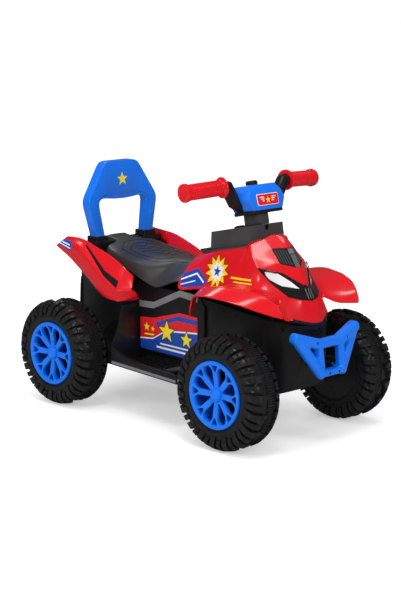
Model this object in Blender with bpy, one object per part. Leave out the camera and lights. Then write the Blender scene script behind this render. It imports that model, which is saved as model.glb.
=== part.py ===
# Ride-on all-terrain vehicle for a small child: battery-driven quad with four chunky wheels,
# a handlebar, a lifting backrest frame, two footboards and a guard at the front.
# Metres, +Z up, the vehicle faces -Y, the rider's right hand is at -X.
# Shapes are written from the seat's front tip (y = 0); the "vehicle" empty then puts the
# middle of the whole box over the origin.

import math

import bmesh
import bpy
from mathutils import Vector

# Wheels
TYRE_RADIUS = 0.105
TYRE_WIDTH = 0.074
TYRE_WALL = 0.0042
TYRE_FACETS = 28
KNOB_HEIGHT = 0.0045
RIM_RADIUS = 0.0617
SPOKES = 8
HUB_RADIUS = 0.0140
TRACK_HALF = 0.155
FRONT_AXLE_Y = -0.2255
REAR_AXLE_Y = 0.2285
AXLE_RADIUS = 0.005
SLEEVE_RADIUS = 0.0100
SLEEVE_END = -0.033
DISC_FRONT = 0.0300
DISC_BACK = 0.0215
INNER_DISC = -0.030

# Fits
GAP = 0.0003
RUNNING_GAP = 0.0005

# Steering
KINGPIN_HALF = 0.098
KINGPIN_RADIUS = 0.003
KINGPIN_LENGTH = 0.0505
PIN_HEAD_RADIUS = 0.0055
PIN_HEAD_HEIGHT = 0.0025
COLUMN_RADIUS = 0.005
COLUMN_Y = -0.147
COLUMN_Z = 0.387
COLUMN_LEAN = math.radians(12)
DROP_ARM = 0.030
DROP_ARM_Z = 0.112
STEERING_LINK_Z = 0.0975
STEERING_LINK_THICKNESS = 0.0035
LINK_PIN_RADIUS = 0.0022
FORK_LOW = 0.0815
FORK_HIGH = 0.1285
LUG = 0.006
BEAM_HALF_DEPTH = 0.010
BARREL_RADIUS = 0.009
LINK_HALF_DEPTH = 0.0100

# Body
TUB_HALF = 0.071
TUB_WALL = 0.003
SKIN = 0.003
PANEL_THICKNESS = 0.006
DECK_Z = 0.300
DECK_HALF = 0.0955
FRONT_FACE_Y = -0.2900
FENDER_SKIN = 0.0025
FENDER_CLEARANCE = 0.0012

# Front guard
GUARD_TUBE = 0.0096
STAY_HALF = 0.0060
STAY_LOW = 0.1430
STAY_HIGH = 0.1550

# Footboards and pedal
FOOT_OUTER = 0.146
FOOT_RIM = 0.0065
FOOT_FRONT = -0.085
FOOT_REAR = 0.0975
BOARD = 0.004
PEDAL_Y = -0.036
PEDAL_Z = 0.1045
PEDAL_NEAR = 0.092
PEDAL_FAR = 0.128
PEDAL_REACH = 0.044
PIVOT_RADIUS = 0.0015

# Seat and backrest
SOCKET_Y = 0.228
LEG_DEPTH = 0.022
LEG_INNER = 0.0525
LEG_OUTER = 0.0755
LEG_TOP_Z = DECK_Z + 0.0245
LEG_FOOT_Z = DECK_Z + 0.0060
BACK_LEAN = 0.07
SOCKET_HALF_DEPTH = 0.0165
SOCKET_CLEARANCE = 0.0045

# Handlebar
GRIP_RADIUS = 0.0148
GRIP_FLANGE = 0.0195
GRIP_FACETS = 14
HANDLE_RADIUS = 0.0125
HANDLE_CORE = 0.0095
COLLAR_RADIUS = 0.023
COLLAR_LOW = -0.0077
COLLAR_HIGH = 0.0122
COVER_TOP = 0.0657
HUB_TOP = 0.0400
COLUMN_TOP = 0.0340
WALL = 0.0025
BUTTON_RADIUS = 0.0112
BUTTON_TOP = 0.0742
BUTTON_ALONG = -0.0007
BUTTON_LIP = 0.0018

# Dash pod and its switch
POD_TOP = -0.0080
POD_LOW = -0.0372
FLANGE_LOW = -0.0412
SWITCH_ALONG = 0.045
SWITCH_HALF = 0.0075
SWITCH_LENGTH = 0.0180
SWITCH_PIVOT = -0.0120

# Drive
GEAR_MODULE = 0.00125
GEAR_TEETH = 32
PINION_TEETH = 8
GEAR_WIDTH = 0.008
GEAR_X = -0.050
PINION_ANGLE = math.radians(120)
MOTOR_RADIUS = 0.0135
MOTOR_LENGTH = 0.036
LEFT_BUSH_RADIUS = 0.0082
RIGHT_BUSH_RADIUS = 0.0112
DRIVE_SLEEVE = 0.0078
PINION_SHAFT = 0.0015
BOX_WALL = 0.0015
BATTERY = (0.101, 0.047, 0.070)

AXLE_Z = TYRE_RADIUS * math.cos(math.pi / TYRE_FACETS)
DROP_ARM_UP = (DROP_ARM_Z - COLUMN_Z) / math.cos(COLUMN_LEAN)
LINK_PIN_Y = COLUMN_Y + DROP_ARM * math.cos(COLUMN_LEAN) + DROP_ARM_UP * math.sin(COLUMN_LEAN)
STEERING_LINK_Y = LINK_PIN_Y - 0.002
SEAT_NOTCH_Y = SOCKET_Y - SOCKET_HALF_DEPTH - SOCKET_CLEARANCE
SEAT_END_Y = SOCKET_Y + 0.018

for old in list(bpy.data.objects):
    bpy.data.objects.remove(old, do_unlink=True)

scene_objects = bpy.context.scene.collection.objects


# Materials
def material(name, colour, roughness, metallic=0.0):
    made = bpy.data.materials.new(name)
    made.use_nodes = True
    shader = made.node_tree.nodes["Principled BSDF"]
    shader.inputs["Base Color"].default_value = (*colour, 1.0)
    shader.inputs["Roughness"].default_value = roughness
    shader.inputs["Metallic"].default_value = metallic
    return made


RED = material("gloss_red_plastic", (0.72, 0.004, 0.012), 0.18)
BLUE = material("bright_blue_plastic", (0.004, 0.16, 0.80), 0.25)
BLACK = material("black_plastic", (0.012, 0.012, 0.013), 0.45)
DARK_GREY = material("dark_grey_plastic", (0.045, 0.046, 0.048), 0.5)
TYRE_BLACK = material("tyre_black", (0.014, 0.014, 0.014), 0.6)
WHITE = material("lens_white", (0.92, 0.93, 0.95), 0.15)
STEEL = material("bright_steel", (0.55, 0.56, 0.58), 0.3, 1.0)
NYLON = material("natural_nylon", (0.75, 0.74, 0.68), 0.45)
CELL_GREY = material("battery_grey", (0.16, 0.17, 0.19), 0.5)


# Building helpers
def finish(name, mesh, paint, smooth_angle=30):
    mesh.materials.append(paint)
    mesh.shade_smooth()
    mesh.set_sharp_from_angle(angle=math.radians(smooth_angle))
    made = bpy.data.objects.new(name, mesh)
    scene_objects.link(made)
    return made


def from_faces(name, points, faces, paint):
    """One closed mesh from points and faces, with its faces turned outwards."""
    mesh = bpy.data.meshes.new(name)
    mesh.from_pydata([tuple(p) for p in points], [], faces)
    shape = bmesh.new()
    shape.from_mesh(mesh)
    bmesh.ops.remove_doubles(shape, verts=shape.verts, dist=1e-6)
    bmesh.ops.recalc_face_normals(shape, faces=shape.faces)
    shape.to_mesh(mesh)
    shape.free()
    return finish(name, mesh, paint)


def box(name, low, high, paint):
    corners = [(x, y, z) for x in (low[0], high[0]) for y in (low[1], high[1]) for z in (low[2], high[2])]
    return hull(name, corners, paint)


def hull(name, points, paint):
    shape = bmesh.new()
    for point in points:
        shape.verts.new(point)
    found = bmesh.ops.convex_hull(shape, input=shape.verts)
    loose = {v for v in found["geom_interior"] + found["geom_unused"] if isinstance(v, bmesh.types.BMVert)}
    bmesh.ops.delete(shape, geom=list(loose), context="VERTS")
    bmesh.ops.dissolve_limit(shape, angle_limit=0.01, verts=shape.verts, edges=shape.edges)
    bmesh.ops.recalc_face_normals(shape, faces=shape.faces)
    mesh = bpy.data.meshes.new(name)
    shape.to_mesh(mesh)
    shape.free()
    return finish(name, mesh, paint)


def prism(name, outline, low, high, paint, along="X"):
    """An outline in the plane square to an axis, extruded along that axis from low to high."""
    places = {"X": lambda a, b, c: (c, a, b), "Y": lambda a, b, c: (a, c, b), "Z": lambda a, b, c: (a, b, c)}
    place = places[along]
    count = len(outline)
    points = [place(a, b, low) for a, b in outline] + [place(a, b, high) for a, b in outline]
    faces = [tuple(range(count)), tuple(range(2 * count - 1, count - 1, -1))]
    faces += [(i, (i + 1) % count, (i + 1) % count + count, i + count) for i in range(count)]
    return from_faces(name, points, faces, paint)


def turned(name, profile, facets, paint, centre=(0, 0, 0), axis=(1, 0, 0), phase=0.5):
    """A closed ring profile of (radius, distance along the axis) turned round the axis."""
    axis = Vector(axis).normalized()
    across = axis.orthogonal().normalized() if abs(axis.x) < 0.9 else Vector((0, 0, -1))
    beside = axis.cross(across)
    centre = Vector(centre)
    points = []
    starts = []
    for radius, along in profile:
        starts.append(len(points))
        if radius < 1e-6:
            points.append(centre + axis * along)
            continue
        for k in range(facets):
            angle = 2 * math.pi * (k + phase) / facets
            outward = across * math.cos(angle) + beside * math.sin(angle)
            points.append(centre + axis * along + outward * radius)
    faces = []
    for i, (radius, _) in enumerate(profile):
        j = (i + 1) % len(profile)
        flat = radius < 1e-6, profile[j][0] < 1e-6
        for k in range(facets):
            n = (k + 1) % facets
            if flat == (True, True):
                continue
            if flat[0]:
                faces.append((starts[i], starts[j] + n, starts[j] + k))
            elif flat[1]:
                faces.append((starts[i] + k, starts[i] + n, starts[j]))
            else:
                faces.append((starts[i] + k, starts[i] + n, starts[j] + n, starts[j] + k))
    return from_faces(name, points, faces, paint)


def rod(name, start, end, radius, paint, facets=16):
    start, end = Vector(start), Vector(end)
    length = (end - start).length
    profile = [(0, 0), (radius, 0), (radius, length), (0, length)]
    return turned(name, profile, facets, paint, start, end - start)


def tube_path(name, path, radii, paint, facets=12):
    """A round bar along a path, with its own radius at each point."""
    path = [Vector(p) for p in path]
    points = []
    for i, here in enumerate(path):
        ahead = path[min(i + 1, len(path) - 1)] - path[max(i - 1, 0)]
        ahead.normalize()
        side = Vector((0, 1, 0)).cross(ahead).normalized()
        up = ahead.cross(side)
        for k in range(facets):
            angle = 2 * math.pi * k / facets
            points.append(here + (side * math.cos(angle) + up * math.sin(angle)) * radii[i])
    faces = [tuple(range(facets)), tuple(range(len(points) - 1, len(points) - 1 - facets, -1))]
    for i in range(len(path) - 1):
        for k in range(facets):
            n = (k + 1) % facets
            faces.append((i * facets + k, i * facets + n, (i + 1) * facets + n, (i + 1) * facets + k))
    return from_faces(name, points, faces, paint)


def combine(target, other, operation):
    other.hide_render = True
    other.display_type = "WIRE"
    change = target.modifiers.new(operation.lower() + "_" + other.name, "BOOLEAN")
    change.operation = operation
    change.solver = "EXACT"
    change.object = other
    return target


def cut(target, *cutters):
    for cutter in cutters:
        combine(target, cutter, "DIFFERENCE")
    return target


def join(target, *others):
    for other in others:
        combine(target, other, "UNION")
    return target


def bevelled(target, width, segments=1, angle=30):
    soften = target.modifiers.new("edge_round", "BEVEL")
    soften.width = width
    soften.segments = segments
    soften.limit_method = "ANGLE"
    soften.angle_limit = math.radians(angle)
    return target


def empty(name, place=(0, 0, 0), turn=(0, 0, 0), parent=None):
    made = bpy.data.objects.new(name, None)
    made.location = place
    made.rotation_euler = turn
    made.parent = parent
    scene_objects.link(made)
    return made


def hang(frame, *pieces):
    """Hangs pieces on a frame, with the solids that are joined to them or cut out of them."""
    for piece in pieces:
        piece.parent = frame
        for change in piece.modifiers:
            if change.type == "BOOLEAN":
                change.object.parent = frame


def on_side(sign, near, far):
    """The lower and the higher x of a piece between two distances from the middle."""
    return min(sign * near, sign * far), max(sign * near, sign * far)


def mirrored_points(points):
    """Adds the other side's point, named with a tick, for each point off the middle."""
    both = {name: Vector(place) for name, place in points.items()}
    for name, place in points.items():
        if place[0] > 1e-9:
            both[name + "'"] = Vector((-place[0], place[1], place[2]))
    return both


def skin_pieces(points, zones, thickness, gap, mirror):
    """Cuts one thick moulded skin into the pieces that share it.

    zones maps a piece to its faces. All pieces are thickened along the same corner normals
    and drawn back from their shared edges, so that neighbours meet wall to wall with a gap.
    """
    if mirror:
        places = mirrored_points(points)
        full = {}
        for piece, faces in zones.items():
            other = piece
            if piece.endswith("_left"):
                other = piece.replace("_left", "_right")
            full.setdefault(piece, []).extend(faces)
            flipped = [tuple((n + "'") if (n + "'") in places else n for n in reversed(f)) for f in faces]
            full.setdefault(other, []).extend(flipped)
        zones = full
    else:
        places = {name: Vector(place) for name, place in points.items()}
    normals = {name: Vector() for name in places}
    sides = {}
    for piece, faces in zones.items():
        for face in faces:
            corners = [places[n] for n in face]
            normal = Vector()
            for i in range(1, len(corners) - 1):
                normal += (corners[i] - corners[0]).cross(corners[i + 1] - corners[0])
            for i, n in enumerate(face):
                before = corners[i - 1] - corners[i]
                after = corners[(i + 1) % len(corners)] - corners[i]
                normals[n] += normal.normalized() * before.angle(after)
                sides[(n, face[(i + 1) % len(face)])] = piece
    for normal in normals.values():
        normal.normalize()
    pieces = {}
    for piece, faces in zones.items():
        used = sorted({n for face in faces for n in face})
        inward = {n: [] for n in used}
        for (a, b), owner in sides.items():
            if owner == piece and sides.get((b, a), piece) != piece:
                along = (places[b] - places[a]).normalized()
                for n in (a, b):
                    inward[n].append(normals[n].cross(along).normalized())
        outer = {}
        for n in used:
            shift = Vector()
            if len(inward[n]) == 2:
                first, second = inward[n]
                shift = (first + second) / max(1 + first.dot(second), 0.4)
            elif inward[n]:
                shift = sum(inward[n], Vector()).normalized()
            outer[n] = places[n] + shift * gap
        index = {n: i for i, n in enumerate(used)}
        count = len(used)
        depth = thickness[piece] if isinstance(thickness, dict) else thickness
        mesh_points = [outer[n] for n in used]
        mesh_points += [outer[n] - normals[n] * depth for n in used]
        mesh_faces = []
        edges = {}
        for face in faces:
            mesh_faces.append(tuple(index[n] for n in face))
            mesh_faces.append(tuple(index[n] + count for n in reversed(face)))
            for i, n in enumerate(face):
                edge = (index[n], index[face[(i + 1) % len(face)]])
                edges[edge] = edges.get(edge, 0) + 1
        for a, b in edges:
            if (b, a) in edges:
                continue
            if used[a] < used[b]:
                mesh_faces += [(b, a, b + count), (a, a + count, b + count)]
            else:
                mesh_faces += [(b, a, a + count), (b, a + count, b + count)]
        pieces[piece] = (mesh_points, mesh_faces)
    return pieces


SIDES = (("left", 1), ("right", -1))


# Frames of reference
vehicle = empty("vehicle")
column_frame = empty("column_frame", (0, COLUMN_Y, COLUMN_Z), (-COLUMN_LEAN, 0, 0), vehicle)
dash_frame = empty("dash_frame", (0, COLUMN_Y, COLUMN_Z), (-COLUMN_LEAN, 0, 0), vehicle)


def on_column(side, along, up):
    """A point of the leaning column's frame, in the vehicle's frame."""
    c, s = math.cos(COLUMN_LEAN), math.sin(COLUMN_LEAN)
    return Vector((side, COLUMN_Y + along * c + up * s, COLUMN_Z - along * s + up * c))


# Wheels: hollow tyre with edge knobs, spoked rim and a hub cap
HALF_WIDTH = TYRE_WIDTH / 2
RIM_FACE = HALF_WIDTH - 0.0008
BORE = AXLE_RADIUS + GAP
AXLE_END = DISC_FRONT + 0.0015


def tyre_profile():
    base = TYRE_RADIUS - KNOB_HEIGHT
    wall = TYRE_WALL
    bead = RIM_RADIUS + GAP
    bore = SLEEVE_RADIUS + GAP
    half = HALF_WIDTH
    outside = [
        (bead, half - 0.0060),
        (bead + 0.012, half - 0.0004),
        (base - 0.0055, half - 0.0040),
        (base, half - 0.0130),
        (base, -half + 0.0130),
        (base - 0.0055, -half + 0.0040),
        (bead + 0.012, -half),
        (bead - 0.010, INNER_DISC),
        (bore, INNER_DISC),
    ]
    inside = [
        (bore, INNER_DISC + wall),
        (bead - 0.008, INNER_DISC + wall),
        (base - wall, -half + 0.0150),
        (base - wall, half - 0.0150),
        (bead, half - 0.0095),
    ]
    return outside + inside


def make_tyre(name, sign):
    tyre = turned(name, tyre_profile(), TYRE_FACETS, TYRE_BLACK, axis=(sign, 0, 0))
    shape = bmesh.new()
    shape.from_mesh(tyre.data)
    base = TYRE_RADIUS - KNOB_HEIGHT
    raised = []
    for face in shape.faces:
        middle = face.calc_center_median()
        radius = math.hypot(middle.y, middle.z)
        along = abs(middle.x)
        knob = int(math.degrees(math.atan2(middle.y, -middle.z)) % 360 / (360 / TYRE_FACETS) + 0.5) % 2
        shoulder = base - 0.006 < radius < base and HALF_WIDTH - 0.013 < along < HALF_WIDTH - 0.003
        if shoulder and knob == 0:
            raised.append(face)
    tyre_outward = bmesh.ops.extrude_discrete_faces(shape, faces=raised)["faces"]
    for face in tyre_outward:
        for vert in face.verts:
            radius = math.hypot(vert.co.y, vert.co.z)
            scale = TYRE_RADIUS / radius if radius > base - 0.002 else (radius + KNOB_HEIGHT * 0.55) / radius
            vert.co.y *= scale
            vert.co.z *= scale
    bmesh.ops.recalc_face_normals(shape, faces=shape.faces)
    shape.to_mesh(tyre.data)
    shape.free()
    return tyre


def rim_windows(name, sign):
    """Cutters for the windows between the spokes."""
    half = [(0.0210, 0.060), (0.038, 0.225), (RIM_RADIUS - 0.0062, 0.190)]
    points, faces = [], []
    for k in range(SPOKES):
        between = (k + 0.5) * 2 * math.pi / SPOKES
        outline = [(r, between - a) for r, a in half] + [(r, between + a) for r, a in reversed(half)]
        start, count = len(points), len(outline)
        for along in (DISC_BACK - 0.004, DISC_FRONT + 0.010):
            points += [(along * sign, r * math.sin(a), r * math.cos(a)) for r, a in outline]
        faces.append(tuple(range(start, start + count)))
        faces.append(tuple(range(start + 2 * count - 1, start + count - 1, -1)))
        for i in range(count):
            n = (i + 1) % count
            faces.append((start + i, start + n, start + n + count, start + i + count))
    return from_faces(name, points, faces, BLUE)


def make_rim(name, sign):
    profile = [
        (RIM_RADIUS, RIM_FACE),
        (RIM_RADIUS, INNER_DISC + TYRE_WALL + 0.0020),
        (RIM_RADIUS - 0.0035, INNER_DISC + TYRE_WALL + 0.0020),
        (RIM_RADIUS - 0.0035, DISC_BACK + 0.001),
        (SLEEVE_RADIUS, DISC_BACK - 0.003),
        (SLEEVE_RADIUS, SLEEVE_END),
        (BORE, SLEEVE_END),
        (BORE, DISC_FRONT - 0.001),
        (HUB_RADIUS, DISC_FRONT - 0.001),
        (RIM_RADIUS - 0.0062, DISC_FRONT + 0.002),
        (RIM_RADIUS - 0.0040, RIM_FACE),
    ]
    rim = turned(name, profile, TYRE_FACETS, BLUE, axis=(sign, 0, 0))
    return cut(rim, rim_windows(name + "_windows", sign))


def make_cap(name, sign):
    start = DISC_FRONT - 0.001 + GAP
    profile = [
        (0, AXLE_END + RUNNING_GAP),
        (BORE, AXLE_END + RUNNING_GAP),
        (BORE, start),
        (HUB_RADIUS - 0.001, start),
        (HUB_RADIUS - 0.001, RIM_FACE - 0.003),
        (HUB_RADIUS - 0.005, RIM_FACE - 0.0005),
        (0, RIM_FACE),
    ]
    return turned(name, profile, 16, BLUE, axis=(sign, 0, 0))


wheel_frames = {}
for end, axle_y in (("front", FRONT_AXLE_Y), ("rear", REAR_AXLE_Y)):
    for side, sign in SIDES:
        tag = end + "_" + side
        wheel = empty("wheel_" + tag, (sign * TRACK_HALF, axle_y, AXLE_Z), parent=vehicle)
        wheel_frames[tag] = wheel
        hang(wheel, make_tyre("tyre_" + tag, sign), make_rim("rim_" + tag, sign))
        hang(wheel, make_cap("hub_cap_" + tag, sign))


# Front axle: cross beam with a fork at each end, kingpins, steering knuckles and the steering link
BARREL_LOW = FORK_LOW + LUG + RUNNING_GAP
BARREL_HIGH = FORK_HIGH - LUG - RUNNING_GAP
beam_end = KINGPIN_HALF + 0.008
beam_body = KINGPIN_HALF - BARREL_RADIUS - 0.004

half_beam = [
    (0.045, FORK_LOW + 0.012),
    (0.050, FORK_LOW),
    (beam_end, FORK_LOW),
    (beam_end, FORK_LOW + LUG),
    (beam_body, FORK_LOW + LUG),
    (beam_body, FORK_HIGH - 0.004),
    (beam_body + 0.003, FORK_HIGH - LUG),
    (beam_end, FORK_HIGH - LUG),
    (beam_end, FORK_HIGH),
    (0.050, FORK_HIGH),
    (0.045, FORK_HIGH - 0.012),
]
beam_outline = half_beam + [(-x, z) for x, z in reversed(half_beam)]
beam_front, beam_back = FRONT_AXLE_Y - BEAM_HALF_DEPTH, FRONT_AXLE_Y + BEAM_HALF_DEPTH
front_axle_beam = prism("front_axle_beam", beam_outline, beam_front, beam_back, BLACK, "Y")
column_foot_z = 0.122
foot_up = (column_foot_z - COLUMN_Z) / math.cos(COLUMN_LEAN)
foot_place = on_column(0, 0, foot_up)
bearing_block = box(
    "bearing_block",
    (-0.010, FRONT_AXLE_Y + BEAM_HALF_DEPTH - 0.004, column_foot_z - 0.006),
    (0.010, foot_place.y + 0.011, column_foot_z + 0.006),
    BLACK,
)
join(front_axle_beam, bearing_block)
bore_low, bore_high = on_column(0, 0, foot_up - 0.03), on_column(0, 0, foot_up + 0.03)
cut(front_axle_beam, rod("column_bore", bore_low, bore_high, COLUMN_RADIUS + GAP, BLACK))
for side, sign in SIDES:
    hole = rod(
        "kingpin_hole_" + side,
        (sign * KINGPIN_HALF, FRONT_AXLE_Y, FORK_LOW - 0.01),
        (sign * KINGPIN_HALF, FRONT_AXLE_Y, FORK_HIGH + 0.01),
        KINGPIN_RADIUS + GAP,
        BLACK,
        12,
    )
    cut(front_axle_beam, hole)

KNUCKLE_ARM_LOW = STEERING_LINK_Z - GAP - 0.005
KNUCKLE_ARM_HIGH = STEERING_LINK_Z - GAP
for side, sign in SIDES:
    pin_x = sign * KINGPIN_HALF
    shank = KINGPIN_LENGTH
    pin_line = [(0, 0), (KINGPIN_RADIUS, 0), (KINGPIN_RADIUS, shank), (PIN_HEAD_RADIUS, shank)]
    pin_line += [(PIN_HEAD_RADIUS, shank + PIN_HEAD_HEIGHT), (0, shank + PIN_HEAD_HEIGHT)]
    pin_foot = (pin_x, FRONT_AXLE_Y, FORK_HIGH + GAP - shank)
    turned("kingpin_" + side, pin_line, 12, STEEL, pin_foot, (0, 0, 1))
    frame = empty("steer_" + side, (pin_x, FRONT_AXLE_Y, AXLE_Z), parent=vehicle)
    barrel_foot, barrel_head = (0, 0, BARREL_LOW - AXLE_Z), (0, 0, BARREL_HIGH - AXLE_Z)
    barrel = rod("knuckle_" + side, barrel_foot, barrel_head, BARREL_RADIUS, BLACK)
    spindle_start = 0.004
    spindle_step = TRACK_HALF + SLEEVE_END - RUNNING_GAP - KINGPIN_HALF
    spindle_end = TRACK_HALF + AXLE_END - KINGPIN_HALF
    spindle = turned(
        "stub_axle_" + side,
        [
            (0, spindle_start),
            (0.0080, spindle_start),
            (0.0080, spindle_step),
            (AXLE_RADIUS, spindle_step),
            (AXLE_RADIUS, spindle_end),
            (0, spindle_end),
        ],
        16,
        BLACK,
        (0, 0, 0),
        (sign, 0, 0),
    )
    arm_reach = LINK_PIN_Y - FRONT_AXLE_Y
    arm = box(
        "steering_arm_" + side,
        (-0.005, BARREL_RADIUS * 0.5, KNUCKLE_ARM_LOW - AXLE_Z),
        (0.005, arm_reach + 0.005, KNUCKLE_ARM_HIGH - AXLE_Z),
        BLACK,
    )
    arm_pin = rod(
        "arm_pin_" + side,
        (0, arm_reach, KNUCKLE_ARM_HIGH - 0.002 - AXLE_Z),
        (0, arm_reach, STEERING_LINK_Z + STEERING_LINK_THICKNESS + 0.002 - AXLE_Z),
        LINK_PIN_RADIUS,
        BLACK,
        12,
    )
    bore = rod(
        "knuckle_bore_" + side,
        (0, 0, BARREL_LOW - 0.01 - AXLE_Z),
        (0, 0, BARREL_HIGH + 0.01 - AXLE_Z),
        KINGPIN_RADIUS + GAP,
        BLACK,
        12,
    )
    join(barrel, spindle, arm, arm_pin)
    cut(barrel, bore)
    hang(frame, barrel)

link_half = KINGPIN_HALF + 0.007
steering_link = box(
    "steering_link",
    (-link_half, STEERING_LINK_Y - LINK_HALF_DEPTH, STEERING_LINK_Z),
    (link_half, STEERING_LINK_Y + LINK_HALF_DEPTH, STEERING_LINK_Z + STEERING_LINK_THICKNESS),
    BLACK,
)
SLOT_HALF_WIDTH = LINK_PIN_RADIUS + 0.0010
SLOT_HALF_LENGTH = LINK_PIN_RADIUS + 0.0045
for slot_name, slot_x in (("left", KINGPIN_HALF), ("middle", 0), ("right", -KINGPIN_HALF)):
    slot = box(
        "link_slot_" + slot_name,
        (slot_x - SLOT_HALF_WIDTH, STEERING_LINK_Y - SLOT_HALF_LENGTH, STEERING_LINK_Z - 0.003),
        (slot_x + SLOT_HALF_WIDTH, STEERING_LINK_Y + SLOT_HALF_LENGTH, STEERING_LINK_Z + 0.007),
        BLACK,
    )
    cut(steering_link, slot)


# Steering column, collar, handlebar, grips and the cover with its horn button, in the leaning frame
BASE_LOW = COLLAR_HIGH + GAP
BASE_HIGH = BASE_LOW + 0.0030
COVER_LOW = BASE_HIGH + GAP

column_foot = DROP_ARM_UP - 0.002
steering_column = rod("steering_column", (0, 0, column_foot), (0, 0, COLUMN_TOP), COLUMN_RADIUS, STEEL)
drop_arm = box(
    "drop_arm", (-0.005, -0.0045, column_foot), (0.005, DROP_ARM + 0.005, DROP_ARM_UP + 0.0015), STEEL
)
drop_pin = rod(
    "drop_pin", (0, DROP_ARM, DROP_ARM_UP - 0.0115), (0, DROP_ARM, DROP_ARM_UP), LINK_PIN_RADIUS, STEEL, 12
)
join(steering_column, drop_arm, drop_pin)

steering_collar = turned(
    "steering_collar",
    [
        (COLUMN_RADIUS + GAP, COLLAR_LOW),
        (COLLAR_RADIUS - 0.001, COLLAR_LOW),
        (COLLAR_RADIUS, COLLAR_LOW + 0.003),
        (COLLAR_RADIUS, COLLAR_HIGH),
        (COLUMN_RADIUS + GAP, COLLAR_HIGH),
    ],
    20,
    BLACK,
    axis=(0, 0, 1),
)

GRIP_INNER = Vector((0.0830, -0.0083, 0.0678))
GRIP_OUTER = Vector((0.1730, 0.0043, 0.0663))
grip_line = (GRIP_OUTER - GRIP_INNER).normalized()
half_path = [
    (0.014, 0.000, 0.0290),
    (0.040, -0.002, 0.0300),
    (0.056, -0.004, 0.0385),
    (0.066, -0.007, 0.0545),
    tuple(GRIP_INNER - grip_line * 0.0085),
    tuple(GRIP_INNER - grip_line * 0.0006),
]
arm_path = half_path + [tuple(GRIP_INNER), tuple(GRIP_OUTER - grip_line * 0.004)]
arm_radii = [HANDLE_RADIUS] * len(half_path) + [HANDLE_CORE, HANDLE_CORE]
bar_path = [(-x, v, n) for x, v, n in reversed(arm_path)] + arm_path
handlebar = tube_path("handlebar", bar_path, arm_radii[::-1] + arm_radii, BLACK, 10)
hub_boss = rod("hub_boss", (0, 0, BASE_LOW), (0, 0, HUB_TOP), 0.0150, BLACK, 20)
half_base = [(0.036, -0.0330), (0.042, -0.012), (0.038, 0.014)]
base_outline = half_base + [(-x, v) for x, v in reversed(half_base)]
base_plate = prism("base_plate", base_outline, BASE_LOW, BASE_HIGH, BLACK, "Z")
clamp_bore = rod("clamp_bore", (0, 0, BASE_LOW - 0.01), (0, 0, COLUMN_TOP + GAP), COLUMN_RADIUS + GAP, BLACK)
join(handlebar, hub_boss, base_plate)
cut(handlebar, clamp_bore)

for side, sign in SIDES:
    start = Vector((sign * GRIP_INNER.x, GRIP_INNER.y, GRIP_INNER.z))
    end = Vector((sign * GRIP_OUTER.x, GRIP_OUTER.y, GRIP_OUTER.z))
    length = (end - start).length
    bore = (HANDLE_CORE + GAP) / math.cos(math.pi / GRIP_FACETS)
    profile = [(bore, GAP), (GRIP_FLANGE - 0.001, GAP), (GRIP_FLANGE, 0.0020), (GRIP_FLANGE - 0.001, 0.0045)]
    ridges = 6
    pitch = (length - 0.020) / ridges
    for k in range(ridges):
        here = 0.007 + k * pitch
        profile += [(GRIP_RADIUS - 0.0012, here), (GRIP_RADIUS, here + pitch * 0.5)]
    profile += [
        (GRIP_RADIUS - 0.001, length - 0.0125),
        (GRIP_RADIUS + 0.0022, length - 0.0095),
        (GRIP_RADIUS + 0.0022, length - 0.002),
        (GRIP_RADIUS, length),
        (0, length),
        (0, length - 0.0035),
        (bore, length - 0.0035),
    ]
    grip = turned("grip_" + side, profile, GRIP_FACETS, RED, start, end - start)
    grip.parent = column_frame

cover_rings = [
    (COVER_LOW, [(0.041, -0.0361), (0.050, -0.0120), (0.044, 0.0200)]),
    (0.0480, [(0.0390, -0.0337), (0.0545, -0.0106), (0.046, 0.0220)]),
    (COVER_TOP - 0.0040, [(0.0365, -0.0327), (0.0525, -0.0106), (0.044, 0.0210)]),
    (COVER_TOP, [(0.0325, -0.0290), (0.0465, -0.0106), (0.039, 0.0170)]),
]


def ring_points(rings):
    return [(s * x, v, n) for n, ring in rings for x, v in ring for s in (1, -1)]


def shrunk(rings, wall, low):
    """The same rings drawn in by a wall, and reaching past the open bottom."""
    inner = []
    for i, (n, ring) in enumerate(rings):
        height = low if i == 0 else n - (wall if i == len(rings) - 1 else 0)
        inner.append((height, [(x - wall * 1.15, v - math.copysign(wall * 1.1, v)) for x, v in ring]))
    return inner


handlebar_cover = hull("handlebar_cover", ring_points(cover_rings), BLUE)
cut(handlebar_cover, hull("cover_hollow", ring_points(shrunk(cover_rings, WALL, COVER_LOW - 0.01)), BLUE))
arm_slot = HANDLE_RADIUS + 0.0018
for side, sign in SIDES:
    slot = hull(
        "cover_slot_" + side,
        [
            (sign * x, v, n)
            for x, mid in ((0.030, 0.0310), (0.066, 0.0510))
            for v in (-0.0035 - arm_slot, -0.0035 + arm_slot)
            for n in (COVER_LOW - 0.01, mid + arm_slot)
        ],
        BLUE,
    )
    cut(handlebar_cover, slot)
hole_low, hole_high = (0, BUTTON_ALONG, COVER_TOP - 0.01), (0, BUTTON_ALONG, COVER_TOP + 0.01)
cut(handlebar_cover, rod("button_hole", hole_low, hole_high, BUTTON_RADIUS + GAP, BLUE, 20))
horn_button = turned(
    "horn_button",
    [
        (0, COVER_TOP - WALL - 0.0025),
        (BUTTON_RADIUS + BUTTON_LIP, COVER_TOP - WALL - 0.0025),
        (BUTTON_RADIUS + BUTTON_LIP, COVER_TOP - WALL - GAP),
        (BUTTON_RADIUS, COVER_TOP - WALL - GAP),
        (BUTTON_RADIUS, BUTTON_TOP - 0.0025),
        (BUTTON_RADIUS - 0.0025, BUTTON_TOP),
        (0, BUTTON_TOP),
    ],
    20,
    BLACK,
    (0, BUTTON_ALONG, 0),
    (0, 0, 1),
)

low_ring, mid_ring = cover_rings[0], cover_rings[1]
face_slope = (mid_ring[1][0][1] - low_ring[1][0][1]) / (mid_ring[0] - low_ring[0])


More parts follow.
